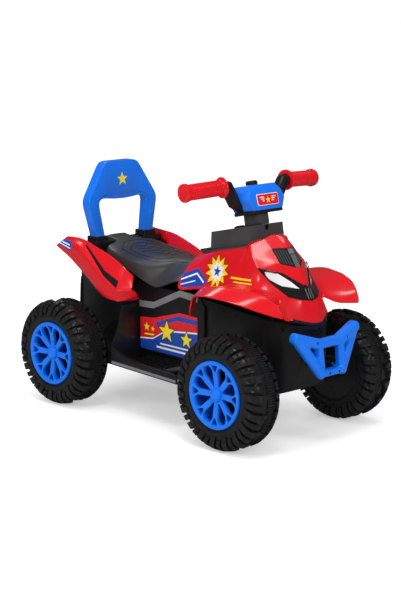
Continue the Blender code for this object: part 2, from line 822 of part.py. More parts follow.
def cover_front(n):
    return low_ring[1][0][1] + face_slope * (n - low_ring[0])


plaque_low, plaque_high = 0.0255, 0.0470
front_plaque = prism(
    "front_plaque",
    [
        (cover_front(plaque_low) - GAP, plaque_low),
        (cover_front(plaque_high) - GAP, plaque_high),
        (cover_front(plaque_high) - GAP - 0.0014, plaque_high),
        (cover_front(plaque_low) - GAP - 0.0014, plaque_low),
    ],
    -0.0280,
    0.0280,
    RED,
)
hang(column_frame, steering_column, steering_collar, handlebar, handlebar_cover, horn_button, front_plaque)


# Dash pod with the direction switch, in the same leaning frame but fixed to the body
pod_rings = [
    (POD_LOW - 0.001, [(0.0465, -0.0195), (0.0465, 0.0830)]),
    (POD_TOP, [(0.0425, -0.0245), (0.0425, 0.0790)]),
]
dash_pod = hull("dash_pod", ring_points(pod_rings), BLACK)
flange_outline = [(0.049, -0.0200), (0.052, 0.060), (0.046, 0.098), (0.016, 0.143)]
flange = prism(
    "pod_flange",
    flange_outline + [(-x, v) for x, v in reversed(flange_outline)],
    FLANGE_LOW,
    POD_LOW,
    BLACK,
    "Z",
)
join(dash_pod, flange)
hollow_rings = [
    (FLANGE_LOW - 0.005, [(0.0440, -0.0165), (0.0440, 0.0800)]),
    (POD_TOP - WALL, [(0.0400, -0.0220), (0.0400, 0.0765)]),
]
pod_low, pod_high = (0, 0, POD_TOP - 0.02), (0, 0, POD_TOP + 0.02)
cut(
    dash_pod,
    hull("pod_hollow", ring_points(hollow_rings), BLACK),
    rod("pod_column_hole", pod_low, pod_high, COLUMN_RADIUS + RUNNING_GAP, BLACK),
    box(
        "switch_hole",
        (-SWITCH_HALF - RUNNING_GAP, SWITCH_ALONG - SWITCH_LENGTH / 2 - 0.0012, POD_TOP - 0.01),
        (SWITCH_HALF + RUNNING_GAP, SWITCH_ALONG + SWITCH_LENGTH / 2 + 0.0012, POD_TOP + 0.01),
        BLACK,
    ),
    rod("face_notch", (0, -0.04, POD_TOP - 0.0060), (0, -0.02, POD_TOP - 0.0060), 0.0052, BLACK, 16),
)
rocker = [
    (-SWITCH_LENGTH / 2, -0.0035),
    (SWITCH_LENGTH / 2, -0.0035),
    (SWITCH_LENGTH / 2, 0.0062),
    (0, 0.0080),
    (-SWITCH_LENGTH / 2, 0.0062),
]
switch_frame = empty("switch_frame", (0, SWITCH_ALONG, SWITCH_PIVOT), parent=dash_frame)
direction_switch = prism("direction_switch", rocker, -SWITCH_HALF, SWITCH_HALF, BLACK)
hang(switch_frame, direction_switch)
hang(dash_frame, dash_pod)


# Front cowl: one moulded skin shared by the red cowl, headlight bezel, lenses, hood vent and grille strip
cowl_points = {
    # ridge from the seat to the nose
    "a0": (0, -0.022, 0.3140),
    "a1": (0, -0.100, 0.3310),
    "a2": (0, -0.172, 0.3470),
    "a3": (0, -0.201, 0.3690),
    "a4": (0, -0.2215, 0.3455),
    "a5": (0, -0.2520, 0.3100),
    "a6": (0, -0.2720, 0.2830),
    "a7": (0, -0.2870, 0.2570),
    "a8": (0, -0.3020, 0.2180),
    # hood beside the ridge
    "b0": (0.038, -0.023, 0.3020),
    "b1": (0.050, -0.098, 0.3210),
    "b2": (0.050, -0.172, 0.3455),
    "b3": (0.028, -0.190, 0.3600),
    "b4": (0.028, -0.2060, 0.3445),
    "b5": (0.031, -0.2260, 0.3220),
    "b6": (0.032, -0.2430, 0.2990),
    "b7": (0.022, -0.2810, 0.2600),
    "b8": (0.030, -0.2910, 0.2225),
    # shoulder
    "c0": (0.0775, -0.0225, 0.2700),
    "c1": (0.066, -0.095, 0.2960),
    "c2": (0.068, -0.165, 0.3050),
    "c3": (0.051, -0.177, 0.3500),
    "c4": (0.057, -0.192, 0.3330),
    "c6": (0.064, -0.208, 0.3150),
    "c9": (0.053, -0.238, 0.2900),
    "c7": (0.042, -0.266, 0.2660),
    "c8": (0.049, -0.281, 0.2265),
    # root of the wing
    "d0": (0.0775, -0.0235, 0.2515),
    "d1": (0.079, -0.075, 0.2600),
    "r2": (0.082, -0.130, 0.2700),
    "r3": (0.083, -0.165, 0.2790),
    "r4": (0.081, -0.205, 0.2800),
    "r5": (0.076, -0.235, 0.2740),
    "r6": (0.066, -0.257, 0.2620),
    "r8": (0.058, -0.272, 0.2280),
    "f1": (0.076, -0.283, 0.2420),
    "f2": (0.061, -0.258, 0.2500),
    # crease along the top of the wing
    "k0": (0.118, -0.098, 0.2260),
    "k1": (0.122, -0.112, 0.2620),
    "k2": (0.131, -0.142, 0.2790),
    "k3": (0.140, -0.186, 0.2880),
    "k4": (0.131, -0.222, 0.2870),
    "k5": (0.122, -0.255, 0.2840),
    "k6": (0.115, -0.280, 0.2770),
    "k7": (0.106, -0.300, 0.2620),
    "k8": (0.102, -0.308, 0.2410),
    # outer lip of the wing
    "l0": (0.132, -0.104, 0.2260),
    "l1": (0.150, -0.128, 0.2560),
    "l2": (0.168, -0.156, 0.2710),
    "l3": (0.176, -0.186, 0.2760),
    "l4": (0.170, -0.215, 0.2740),
    "l5": (0.155, -0.246, 0.2660),
    "l6": (0.136, -0.275, 0.2550),
    "l7": (0.117, -0.297, 0.2460),
    # lens, inside the bezel
    "e1": (0.0590, -0.2165, 0.3095),
    "e2": (0.0480, -0.2290, 0.3045),
    "e3": (0.0250, -0.2535, 0.2880),
    "e4": (0.0190, -0.2650, 0.2790),
    "e5": (0.0400, -0.2520, 0.2840),
    "e6": (0.0510, -0.2350, 0.2950),
    # strip of the grille on the ridge
    "g4": (0.0095, -0.2165, 0.3450),
    "g5": (0.0095, -0.2445, 0.3125),
}


def fan(*names):
    """A face, from its corners named clockwise as seen from outside."""
    return tuple(reversed(names))


cowl_zones = {
    "front_cowl": [
        fan("a0", "b0", "b1", "a1"), fan("a1", "b1", "b2", "a2"),
        fan("a2", "b2", "b3", "a3"), fan("b2", "c3", "b3"),
        fan("b0", "c0", "c1", "b1"), fan("b1", "c1", "c2", "b2"), fan("b2", "c2", "c3"),
        fan("c3", "c2", "c6", "c4"), fan("c2", "r3", "r4", "c6"),
        fan("c6", "r4", "r5", "c9"), fan("c9", "r5", "r6", "c7"),
        fan("c7", "r6", "f2"), fan("c7", "f2", "r8", "c8"),
        fan("c0", "d0", "d1", "c1"), fan("c1", "d1", "r2", "c2"), fan("c2", "r2", "r3"),
        fan("d1", "k1", "k2", "r2"), fan("r2", "k2", "k3", "r3"), fan("r3", "k3", "k4", "r4"),
        fan("r4", "k4", "k5", "r5"), fan("r5", "k5", "k6", "r6"),
        fan("r6", "k6", "k7", "f1"), fan("f1", "k7", "k8"), fan("r6", "f1", "f2"),
        fan("k0", "l0", "l1", "k1"), fan("k1", "l1", "l2", "k2"), fan("k2", "l2", "l3", "k3"),
        fan("k3", "l3", "l4", "k4"), fan("k4", "l4", "l5", "k5"), fan("k5", "l5", "l6", "k6"),
        fan("k6", "l6", "l7", "k7"), fan("k7", "l7", "k8"),
        fan("a7", "b7", "b8", "a8"), fan("b7", "c7", "c8", "b8"),
        fan("a3", "b3", "b4", "g4", "a4"), fan("b3", "c3", "c4", "b4"),
        fan("b4", "c4", "b5"), fan("b5", "c4", "c6"), fan("b5", "c6", "b6"),
        fan("a5", "g5", "b5", "b6", "a6"),
    ],
    "hood_vent": [fan("g4", "b4", "b5", "g5")],
    "grille_strip": [fan("a4", "g4", "g5", "a5")],
    "headlight_bezel": [
        fan("c6", "e1", "e2", "b6"), fan("b6", "e2", "e3"), fan("b6", "e3", "e4", "a6"),
        fan("a6", "e4", "b7", "a7"), fan("b7", "e4", "e5", "c7"), fan("c7", "e5", "e6", "c9"),
        fan("c9", "e6", "e1", "c6"),
    ],
    "headlight_lens_left": [fan("e1", "e6", "e5", "e2"), fan("e2", "e5", "e4", "e3")],
}
cowl_paints = {
    "front_cowl": RED,
    "hood_vent": BLACK,
    "grille_strip": DARK_GREY,
    "headlight_bezel": BLACK,
    "headlight_lens_left": WHITE,
    "headlight_lens_right": WHITE,
}


def split_sides(piece, points, faces):
    """The two halves of a piece that doesn't reach the middle, as left and right."""
    halves = []
    for sign in (1, -1):
        chosen = [f for f in faces if sum(points[i][0] for i in f) * sign > 0]
        used = sorted({i for f in chosen for i in f})
        order = {i: k for k, i in enumerate(used)}
        halves.append(([points[i] for i in used], [tuple(order[i] for i in f) for f in chosen]))
    return halves


cowl_skin = skin_pieces(cowl_points, cowl_zones, SKIN, GAP, True)
for piece, (points, faces) in cowl_skin.items():
    if piece == "hood_vent":
        for (side, _), (half_points, half_faces) in zip(SIDES, split_sides(piece, points, faces)):
            from_faces("hood_vent_" + side, half_points, half_faces, cowl_paints[piece])
    else:
        from_faces(piece, points, faces, cowl_paints[piece])
cut(
    bpy.data.objects["front_cowl"],
    rod("cowl_column_hole", on_column(0, 0, -0.09), on_column(0, 0, -0.02), COLUMN_RADIUS + 0.0025, RED),
)


# Rear fenders with their stripe inserts
FENDER_ROOT = TUB_HALF + FENDER_CLEARANCE
fender_rows = {
    # inner edge beside the seat
    "I": [
        (0.088, 0.086, 0.252), (0.090, 0.105, 0.262), (0.090, 0.139, 0.272), (0.090, 0.176, 0.284),
        (0.0975, 0.2055, 0.300), (0.0975, 0.236, 0.306), (0.104, 0.2665, 0.317),
    ],
    # crest
    "R": [
        (0.098, 0.084, 0.265), (0.108, 0.104, 0.284), (0.108, 0.139, 0.300), (0.109, 0.181, 0.313),
        (0.104, 0.208, 0.3185), (0.100, 0.238, 0.3225), (0.108, 0.2685, 0.3236),
    ],
    # flank
    "M": [
        (0.113, 0.073, 0.242), (0.133, 0.097, 0.240), (0.133, 0.137, 0.258), (0.130, 0.178, 0.284),
        (0.124, 0.212, 0.303), (0.118, 0.250, 0.312), (0.112, 0.286, 0.311),
    ],
    # lower lip
    "L": [
        (0.102, 0.071, 0.2285), (0.128, 0.096, 0.2180), (0.131, 0.136, 0.2240), (0.126, 0.176, 0.2443),
        (0.119, 0.229, 0.2715), (0.114, 0.262, 0.286), (0.112, 0.2995, 0.3015),
    ],
    # root beside the tub
    "U": [
        (FENDER_ROOT, 0.073, 0.2285), (FENDER_ROOT, 0.096, 0.2160), (FENDER_ROOT, 0.136, 0.2200),
        (FENDER_ROOT, 0.176, 0.238), (FENDER_ROOT, 0.229, 0.264), (0.0860, 0.262, 0.284),
        (0.104, 0.296, 0.2995),
    ],
}
# how far down from the crest to the flank the stripe starts and ends, station by station
stripe_shares = [
    (0.62, 0.86), (0.62, 0.92), (0.66, 0.86), (0.44, 0.60), (0.27, 0.39), (0.30, 0.38), (0.40, 0.50),
]


def fender_layout():
    points = {}
    stations = len(fender_rows["R"])
    for row, places in fender_rows.items():
        for i, place in enumerate(places):
            points[row + str(i)] = place
    for i in range(stations):
        top = Vector(fender_rows["R"][i])
        low = Vector(fender_rows["M"][i])
        for row, share in zip("ST", stripe_shares[i]):
            points[row + str(i)] = tuple(top.lerp(low, share))
    red, black = [], []
    order = ["I", "R", "S", "T", "M", "L", "U"]
    for i in range(stations - 1):
        for upper, lower in zip(order, order[1:]):
            face = (upper + str(i), upper + str(i + 1), lower + str(i + 1), lower + str(i))
            stripe = upper == "S" and 1 <= i <= 3
            (black if stripe else red).append(face)
    return points, {"rear_fender": red, "fender_stripe": black}


fender_points, fender_zones = fender_layout()
for side, sign in SIDES:
    placed = {n: (sign * p[0], p[1], p[2]) for n, p in fender_points.items()}
    turned_zones = {
        piece: [f if sign < 0 else tuple(reversed(f)) for f in faces] for piece, faces in fender_zones.items()
    }
    for piece, (points, faces) in skin_pieces(placed, turned_zones, FENDER_SKIN, GAP, False).items():
        from_faces(piece + "_" + side, points, faces, RED if piece == "rear_fender" else BLACK)


# Seat: one thick moulded shell
seat_points = {
    # middle line from the backrest to the hood
    "s0": (0, SEAT_END_Y, 0.3200), "s1": (0, 0.208, 0.3140), "s2": (0, 0.170, 0.3060), "s3": (0, 0.134, 0.2995),
    "s4": (0, 0.091, 0.2970), "s5": (0, 0.060, 0.2965), "s6": (0, 0.002, 0.2980), "s7": (0, -0.032, 0.2960),
    # edge of the top
    "g0": (0.026, SEAT_END_Y, 0.3180), "g1": (0.030, SEAT_NOTCH_Y + 0.0015, 0.3125), "g9": (0.060, 0.200, 0.3070),
    "g2": (0.068, 0.170, 0.3000), "g3": (0.0715, 0.125, 0.2920), "g4": (0.073, 0.091, 0.2840),
    "g5": (0.059, 0.060, 0.2800), "g6": (0.030, 0.030, 0.2890), "g7": (0.036, -0.012, 0.2890),
    "g8": (0.036, -0.032, 0.2860),
    # lower edge of the side
    "h0": (0.030, SEAT_END_Y, 0.3012), "h1": (0.0340, SEAT_NOTCH_Y, 0.3012), "h9": (0.068, 0.200, 0.2880),
    "h2": (0.0765, 0.170, 0.2800), "h3": (0.0795, 0.125, 0.2720), "h4": (0.080, 0.091, 0.2600),
    "h5": (0.080, 0.060, 0.2505), "h6": (0.080, 0.030, 0.2510), "h7": (0.0785, -0.014, 0.2670),
    "h8": (0.062, -0.032, 0.2630),
}
seat_faces = [
    ("s0", "s1", "g1", "g0"), ("s1", "s2", "g2", "g9", "g1"), ("s2", "s3", "g3", "g2"),
    ("s3", "s4", "g4", "g3"), ("s4", "s5", "g5", "g4"), ("s5", "s6", "g6", "g5"),
    ("s6", "s7", "g8", "g7"), ("s6", "g7", "g6"),
    ("g0", "g1", "h1", "h0"), ("g1", "g9", "h9", "h1"), ("g9", "g2", "h2", "h9"), ("g2", "g3", "h3", "h2"),
    ("g3", "g4", "h4", "h3"), ("g4", "g5", "h5", "h4"), ("g5", "g6", "h6", "h5"), ("g6", "g7", "h7", "h6"),
    ("g7", "g8", "h8", "h7"),
]
for piece, (points, faces) in skin_pieces(seat_points, {"seat": seat_faces}, SKIN, GAP, True).items():
    from_faces(piece, points, faces, DARK_GREY)


def on_axle(name, low, high, radius, paint, facets=16):
    """A rod on the rear axle's line."""
    return rod(name, (low, REAR_AXLE_Y, AXLE_Z), (high, REAR_AXLE_Y, AXLE_Z), radius, paint, facets)


# Chassis tub: open shell with the rear deck, nose lip and openings for the axles and steering
tub_outline = [
    (-0.278, 0.0955), (-0.207, 0.0710), (-0.100, 0.0660), (0.100, 0.0660), (0.250, 0.0705), (0.272, 0.0880),
    (0.276, 0.160), (0.268, DECK_Z), (0.2075, DECK_Z), (0.2065, 0.2600), (0.110, 0.2550), (0.055, 0.2470),
    (0.030, 0.2450), (-0.010, 0.2450), (-0.040, 0.2440), (-0.100, 0.2380), (-0.230, 0.2250), (-0.290, 0.2150),
    (FRONT_FACE_Y, 0.1300),
]
chassis = prism("chassis", tub_outline, -TUB_HALF, TUB_HALF, BLACK)
plan = [
    (-TUB_HALF - 0.01, 0.29), (-TUB_HALF - 0.01, -0.205), (-0.058, -0.262), (-0.034, -0.2905),
    (0.034, -0.2905), (0.058, -0.262), (TUB_HALF + 0.01, -0.205), (TUB_HALF + 0.01, 0.29),
]
combine(chassis, prism("tub_plan", plan, 0.0, 0.4, BLACK, "Z"), "INTERSECT")
inner = TUB_HALF - TUB_WALL
hollow_outline = [
    (-0.262, 0.1000), (-0.205, 0.0750), (-0.100, 0.0690), (0.100, 0.0690), (0.190, 0.0725), (0.190, 0.34),
    (-0.262, 0.34),
]
hollow = prism("tub_hollow", hollow_outline, -inner, inner, BLACK)
hollow_plan = [
    (-inner, 0.28), (-inner, -0.205), (-0.053, -0.257), (0.053, -0.257), (inner, -0.205), (inner, 0.28),
]
combine(hollow, prism("hollow_plan", hollow_plan, 0.0, 0.4, BLACK, "Z"), "INTERSECT")
gear_room = box("gear_room", (-inner, 0.180, 0.0745), (inner, 0.2620, 0.2000), BLACK)
deck = box("rear_deck", (-DECK_HALF, 0.2085, DECK_Z - 0.010), (DECK_HALF, 0.2560, DECK_Z), BLACK)
lip_outline = [(0.0, -0.3005), (0.030, -0.2895), (0.049, -0.2795), (0.0570, -0.2715), (0.057, -0.245)]
nose_lip = prism(
    "nose_lip", lip_outline + [(-x, y) for x, y in reversed(lip_outline) if x > 0], 0.2060, 0.2145, BLACK, "Z"
)
join(chassis, deck, nose_lip)
cut(chassis, hollow, gear_room)
beam_window = box(
    "beam_window",
    (-0.1, FRONT_AXLE_Y - BEAM_HALF_DEPTH - GAP, FORK_LOW - GAP),
    (0.1, FRONT_AXLE_Y + BEAM_HALF_DEPTH + GAP, FORK_HIGH + GAP),
    BLACK,
)
link_window = box(
    "link_window",
    (-0.1, STEERING_LINK_Y - LINK_HALF_DEPTH - 0.002, STEERING_LINK_Z - 0.0035),
    (0.1, STEERING_LINK_Y + LINK_HALF_DEPTH + 0.002, STEERING_LINK_Z + STEERING_LINK_THICKNESS + 0.003),
    BLACK,
)
cut(
    chassis,
    beam_window,
    link_window,
    on_axle("left_bush_hole", 0.02, 0.1, LEFT_BUSH_RADIUS + GAP, BLACK, 20),
    on_axle("right_bush_hole", -0.1, -0.02, RIGHT_BUSH_RADIUS + GAP, BLACK, 20),
)


# Rear axle, bushes, gearbox with its gears, motor and battery
on_axle("rear_axle", -TRACK_HALF - AXLE_END, TRACK_HALF + AXLE_END, AXLE_RADIUS, STEEL)
WHEEL_INNER = TRACK_HALF + SLEEVE_END
turned(
    "axle_bush_left",
    [
        (BORE, inner - 0.002),
        (LEFT_BUSH_RADIUS, inner - 0.002),
        (LEFT_BUSH_RADIUS, TUB_HALF + GAP),
        (LEFT_BUSH_RADIUS + 0.003, TUB_HALF + GAP),
        (LEFT_BUSH_RADIUS + 0.003, TUB_HALF + GAP + 0.002),
        (LEFT_BUSH_RADIUS - 0.0005, TUB_HALF + GAP + 0.002),
        (LEFT_BUSH_RADIUS - 0.0005, WHEEL_INNER - RUNNING_GAP),
        (BORE, WHEEL_INNER - RUNNING_GAP),
    ],
    16,
    NYLON,
    (0, REAR_AXLE_Y, AXLE_Z),
    (1, 0, 0),
)
turned(
    "axle_bush_right",
    [
        (DRIVE_SLEEVE + GAP, inner - 0.002),
        (RIGHT_BUSH_RADIUS, inner - 0.002),
        (RIGHT_BUSH_RADIUS, TUB_HALF + GAP),
        (RIGHT_BUSH_RADIUS + 0.003, TUB_HALF + GAP),
        (RIGHT_BUSH_RADIUS + 0.003, TUB_HALF + GAP + 0.002),
        (DRIVE_SLEEVE + GAP, TUB_HALF + GAP + 0.002),
    ],
    20,
    NYLON,
    (0, REAR_AXLE_Y, AXLE_Z),
    (-1, 0, 0),
)


def gear_outline(teeth, phase):
    """Straight-flanked teeth, a little thinner than the spaces so that the pair runs free."""
    pitch_radius = teeth * GEAR_MODULE / 2
    tip, root = pitch_radius + 0.72 * GEAR_MODULE, pitch_radius - 0.98 * GEAR_MODULE
    step = 2 * math.pi / teeth
    corners = [(root, -0.30), (tip, -0.11), (tip, 0.11), (root, 0.30)]
    return [
        (r * math.cos(phase + (k + share) * step), r * math.sin(phase + (k + share) * step))
        for k in range(teeth)
        for r, share in corners
    ]


centre_distance = (GEAR_TEETH + PINION_TEETH) * GEAR_MODULE / 2
pinion_place = Vector(
    (
        GEAR_X,
        REAR_AXLE_Y + centre_distance * math.cos(PINION_ANGLE),
        AXLE_Z + centre_distance * math.sin(PINION_ANGLE),
    )
)
pinion_phase = PINION_ANGLE + math.pi + math.pi / PINION_TEETH
right_wheel = wheel_frames["rear_right"]
drive_gear = prism(
    "drive_gear", gear_outline(GEAR_TEETH, PINION_ANGLE), -GEAR_WIDTH / 2, GEAR_WIDTH / 2, NYLON
)
sleeve_start, sleeve_end = -GEAR_WIDTH / 2, WHEEL_INNER + GEAR_X - GAP
sleeve_half = [(0.0035, sleeve_start), (DRIVE_SLEEVE, sleeve_start)]
sleeve_line = sleeve_half + [(DRIVE_SLEEVE, sleeve_end), (0.0035, sleeve_end)]
drive_sleeve = turned("drive_sleeve", sleeve_line, 20, NYLON, axis=(-1, 0, 0))
drive_bore = rod("drive_bore", (-0.1, 0, 0), (0.02, 0, 0), BORE, NYLON)
join(drive_gear, drive_sleeve)
cut(drive_gear, drive_bore)
for piece in (drive_gear, drive_sleeve, drive_bore):
    piece.parent = right_wheel
    piece.location = (TRACK_HALF + GEAR_X, 0, 0)

pinion_frame = empty("pinion_frame", pinion_place, parent=vehicle)
motor_pinion = prism(
    "motor_pinion", gear_outline(PINION_TEETH, pinion_phase), -GEAR_WIDTH / 2, GEAR_WIDTH / 2, NYLON
)
shaft_start = GEAR_WIDTH / 2 - 0.002
pinion_shaft = rod("pinion_shaft", (shaft_start, 0, 0), (shaft_start + 0.0105, 0, 0), PINION_SHAFT, NYLON, 10)
join(motor_pinion, pinion_shaft)
hang(pinion_frame, motor_pinion)


def rounded_pair(radius_low, radius_high, facets=24):
    """The outline round the drive gear and the pinion: two arcs and the straights between."""
    centres = ((REAR_AXLE_Y, AXLE_Z, radius_low), (pinion_place.y, pinion_place.z, radius_high))
    points = []
    for y, z, radius in centres:
        for k in range(facets):
            angle = 2 * math.pi * (k + 0.5) / facets
            points.append((y + radius * math.cos(angle), z + radius * math.sin(angle)))
    return points


def hull_prism(name, outline, low, high, paint):
    return hull(name, [(x, y, z) for x in (low, high) for y, z in outline], paint)


box_low = GEAR_X - GEAR_WIDTH / 2 - RUNNING_GAP - BOX_WALL
box_high = GEAR_X + GEAR_WIDTH / 2 + RUNNING_GAP + BOX_WALL
gear_tip = (GEAR_TEETH / 2 + 0.72) * GEAR_MODULE + 0.0006
pinion_tip = (PINION_TEETH / 2 + 0.72) * GEAR_MODULE + 0.0006
gearbox = hull_prism(
    "gearbox_housing", rounded_pair(gear_tip + BOX_WALL, pinion_tip + BOX_WALL), box_low, box_high, BLACK
)
hollow_low, hollow_high = box_low + BOX_WALL, box_high - BOX_WALL
shaft_far = pinion_place + Vector((0.03, 0, 0))
cut(
    gearbox,
    hull_prism("gearbox_hollow", rounded_pair(gear_tip, pinion_tip), hollow_low, hollow_high, BLACK),
    on_axle("sleeve_hole", box_low - 0.01, GEAR_X, DRIVE_SLEEVE + GAP, BLACK, 20),
    on_axle("axle_hole", GEAR_X, box_high + 0.01, BORE, BLACK, 16),
    rod("shaft_hole", pinion_place, shaft_far, PINION_SHAFT + RUNNING_GAP, BLACK, 12),
)
motor_start = box_high + GAP
turned(
    "motor",
    [
        (PINION_SHAFT + GAP, motor_start),
        (MOTOR_RADIUS - 0.001, motor_start),
        (MOTOR_RADIUS, motor_start + 0.001),
        (MOTOR_RADIUS, motor_start + MOTOR_LENGTH),
        (0.005, motor_start + MOTOR_LENGTH),
        (0.005, motor_start + MOTOR_LENGTH + 0.003),
        (0, motor_start + MOTOR_LENGTH + 0.003),
        (0, motor_start + 0.008),
        (PINION_SHAFT + GAP, motor_start + 0.008),
    ],
    20,
    STEEL,
    (0, pinion_place.y, pinion_place.z),
    (1, 0, 0),
)
battery_low = Vector((-BATTERY[0] / 2, 0.050, 0.0690 + GAP))
battery = box("battery", battery_low, battery_low + Vector(BATTERY), CELL_GREY)
bevelled(battery, 0.002)


# Backrest frame in its two sockets
back_pairs = [
    ((LEG_OUTER, LEG_FOOT_Z), (LEG_INNER, LEG_FOOT_Z)),
    ((LEG_OUTER, LEG_TOP_Z), (LEG_INNER, LEG_TOP_Z)),
    ((0.0905, 0.3900), (0.0640, 0.3830)),
    ((0.0890, 0.3990), (0.0610, 0.3940)),
    ((0.0400, 0.4660), (0.0500, 0.4015)),
    ((0.0330, 0.4695), (0.0220, 0.3950)),
]
left_pairs = [((-o[0], o[1]), (-i[0], i[1])) for o, i in reversed(back_pairs)]
back_pairs += [((0.0, 0.4695), (0.0, 0.3935))] + left_pairs
back_points = []
for pair in back_pairs:
    for x, z in pair:
        lean = SOCKET_Y + max(z - LEG_TOP_Z, 0) * BACK_LEAN
        back_points += [(x, lean - LEG_DEPTH / 2, z), (x, lean + LEG_DEPTH / 2, z)]
back_faces = []
for i in range(len(back_pairs) - 1):
    here, ahead = 4 * i, 4 * i + 4
    for a, b in ((0, 1), (1, 3), (3, 2), (2, 0)):
        back_faces.append((here + a, here + b, ahead + b, ahead + a))
back_faces += [(0, 1, 3, 2), tuple(4 * (len(back_pairs) - 1) + k for k in (0, 1, 3, 2))]
backrest = from_faces("backrest", back_points, back_faces, BLUE)
bevelled(backrest, 0.003)
SOCKET_TOP = LEG_TOP_Z - GAP
COLLAR_HALF_DEPTH = SOCKET_HALF_DEPTH - 0.002
POCKET_HALF_DEPTH = LEG_DEPTH / 2 + GAP
for side, sign in SIDES:
    low_x, high_x = on_side(sign, 0.0355, 0.0945)
    socket = box(
        "backrest_socket_" + side,
        (low_x, SOCKET_Y - SOCKET_HALF_DEPTH, DECK_Z + GAP),
        (high_x, SOCKET_Y + SOCKET_HALF_DEPTH, SOCKET_TOP - 0.0105),
        BLACK,
    )
    low_x, high_x = on_side(sign, LEG_INNER - 0.0035, LEG_OUTER + 0.0035)
    collar = box(
        "socket_collar_" + side,
        (low_x, SOCKET_Y - COLLAR_HALF_DEPTH, SOCKET_TOP - 0.0130),
        (high_x, SOCKET_Y + COLLAR_HALF_DEPTH, SOCKET_TOP),
        BLACK,
    )
    low_x, high_x = on_side(sign, LEG_INNER - GAP, LEG_OUTER + GAP)
    pocket = box(
        "socket_pocket_" + side,
        (low_x, SOCKET_Y - POCKET_HALF_DEPTH, LEG_FOOT_Z - GAP),
        (high_x, SOCKET_Y + POCKET_HALF_DEPTH, SOCKET_TOP + 0.02),
        BLACK,
    )
    join(socket, collar)
    cut(socket, pocket)


# Footboards with the mudguard wall, the side panels and the pedal
foot_inner = TUB_HALF + GAP


def foot_bottom(y):
    return 0.0905 + (y - FOOT_FRONT) * (0.0975 - 0.0905) / (FOOT_REAR - FOOT_FRONT)


for side, sign in SIDES:
    floor = prism(
        "footboard_" + side,
        [
            (FOOT_FRONT, foot_bottom(FOOT_FRONT)), (FOOT_REAR, foot_bottom(FOOT_REAR)),
            (FOOT_REAR, foot_bottom(FOOT_REAR) + BOARD), (FOOT_FRONT, foot_bottom(FOOT_FRONT) + BOARD),
        ],
        *on_side(sign, foot_inner, FOOT_OUTER - 0.001),
        BLACK,
    )
    rim = prism(
        "foot_rim_" + side,
        [
            (FOOT_FRONT, foot_bottom(FOOT_FRONT)), (FOOT_REAR, foot_bottom(FOOT_REAR)), (FOOT_REAR, 0.1340),
            (0.060, 0.1190), (0.016, 0.1115), (FOOT_FRONT, 0.1065),
        ],
        *on_side(sign, FOOT_OUTER - FOOT_RIM, FOOT_OUTER),
        BLACK,
    )
    wall_outline = [
        (foot_inner, foot_bottom(FOOT_REAR)), (FOOT_OUTER, foot_bottom(FOOT_REAR)), (FOOT_OUTER, 0.1340),
        (0.1270, 0.1750), (0.1190, 0.2090), (foot_inner, 0.2090),
    ]
    wall_outline = [(sign * x, z) for x, z in wall_outline]
    wall = prism("mudguard_" + side, wall_outline, FOOT_REAR - 0.0045, FOOT_REAR, BLACK, "Y")
    join(floor, rim, wall)
    for k in range(4):
        rib_x = 0.086 + k * 0.013
        rib = prism(
            "tread_rib_%s_%d" % (side, k),
            [
                (-0.020, foot_bottom(-0.020) + BOARD - 0.001), (0.085, foot_bottom(0.085) + BOARD - 0.001),
                (0.085, foot_bottom(0.085) + BOARD + 0.0015), (-0.020, foot_bottom(-0.020) + BOARD + 0.0015),
            ],
            *on_side(sign, rib_x, rib_x + 0.004),
            BLACK,
        )
        join(floor, rib)
    panel_outline = [
        (0.0925, 0.1180), (0.0925, 0.2160), (0.050, 0.2175), (-0.0225, 0.2500), (-0.070, 0.2460),
        (-0.088, 0.2250), (-0.088, 0.1130),
    ]
    low_x, high_x = on_side(sign, foot_inner, foot_inner + PANEL_THICKNESS)
    prism("side_panel_" + side, panel_outline, low_x, high_x, BLACK)

pedal_frame = empty("pedal_frame", (0, PEDAL_Y, PEDAL_Z), parent=vehicle)
pedal_tilt = math.radians(14)
end_y, end_z = -PEDAL_REACH * math.cos(pedal_tilt), PEDAL_REACH * math.sin(pedal_tilt)
pedal_outline = [
    (0.0015, 0.0005), (0.0010, 0.0030), (end_y, end_z + 0.0030), (end_y - 0.002, end_z),
    (end_y, end_z - 0.0010), (-0.002, -0.0010),
]
foot_pedal = prism("foot_pedal", pedal_outline, -PEDAL_FAR, -PEDAL_NEAR, BLACK)
barrel = rod("pedal_barrel", (-PEDAL_FAR, 0, 0), (-PEDAL_NEAR, 0, 0), 0.0030, BLACK, 12)
pivot = rod("pedal_pivot", (-PEDAL_FAR - 0.0035, 0, 0), (-PEDAL_NEAR + 0.0035, 0, 0), PIVOT_RADIUS, BLACK, 12)
join(foot_pedal, barrel, pivot)
hang(pedal_frame, foot_pedal)
right_board = bpy.data.objects["footboard_right"]
for tag, ear_low in (("outer", -PEDAL_FAR - 0.0036), ("inner", -PEDAL_NEAR + RUNNING_GAP)):
    ear = box(
        "pedal_ear_" + tag,
        (ear_low, PEDAL_Y - 0.0035, foot_bottom(PEDAL_Y) + 0.001),
        (ear_low + 0.0031, PEDAL_Y + 0.0035, PEDAL_Z + 0.0030),
        BLACK,
    )
    join(right_board, ear)
ear_far, ear_near = (-PEDAL_FAR - 0.01, PEDAL_Y, PEDAL_Z), (-PEDAL_NEAR + 0.01, PEDAL_Y, PEDAL_Z)
cut(right_board, rod("ear_bore", ear_far, ear_near, PIVOT_RADIUS + GAP, BLACK, 12))
switch_y = PEDAL_Y - 0.030
box(
    "pedal_switch",
    (-0.118, switch_y - 0.008, foot_bottom(switch_y + 0.008) + BOARD + GAP),
    (-0.102, switch_y + 0.008, 0.1035),
    BLACK,
)


# Front guard of joined bars
arm_tip = (0.0770, -0.3165, 0.2030)
bar_top = (0.0285, -0.3260, 0.1880)
bar_low = (0.0270, -0.3320, 0.1345)


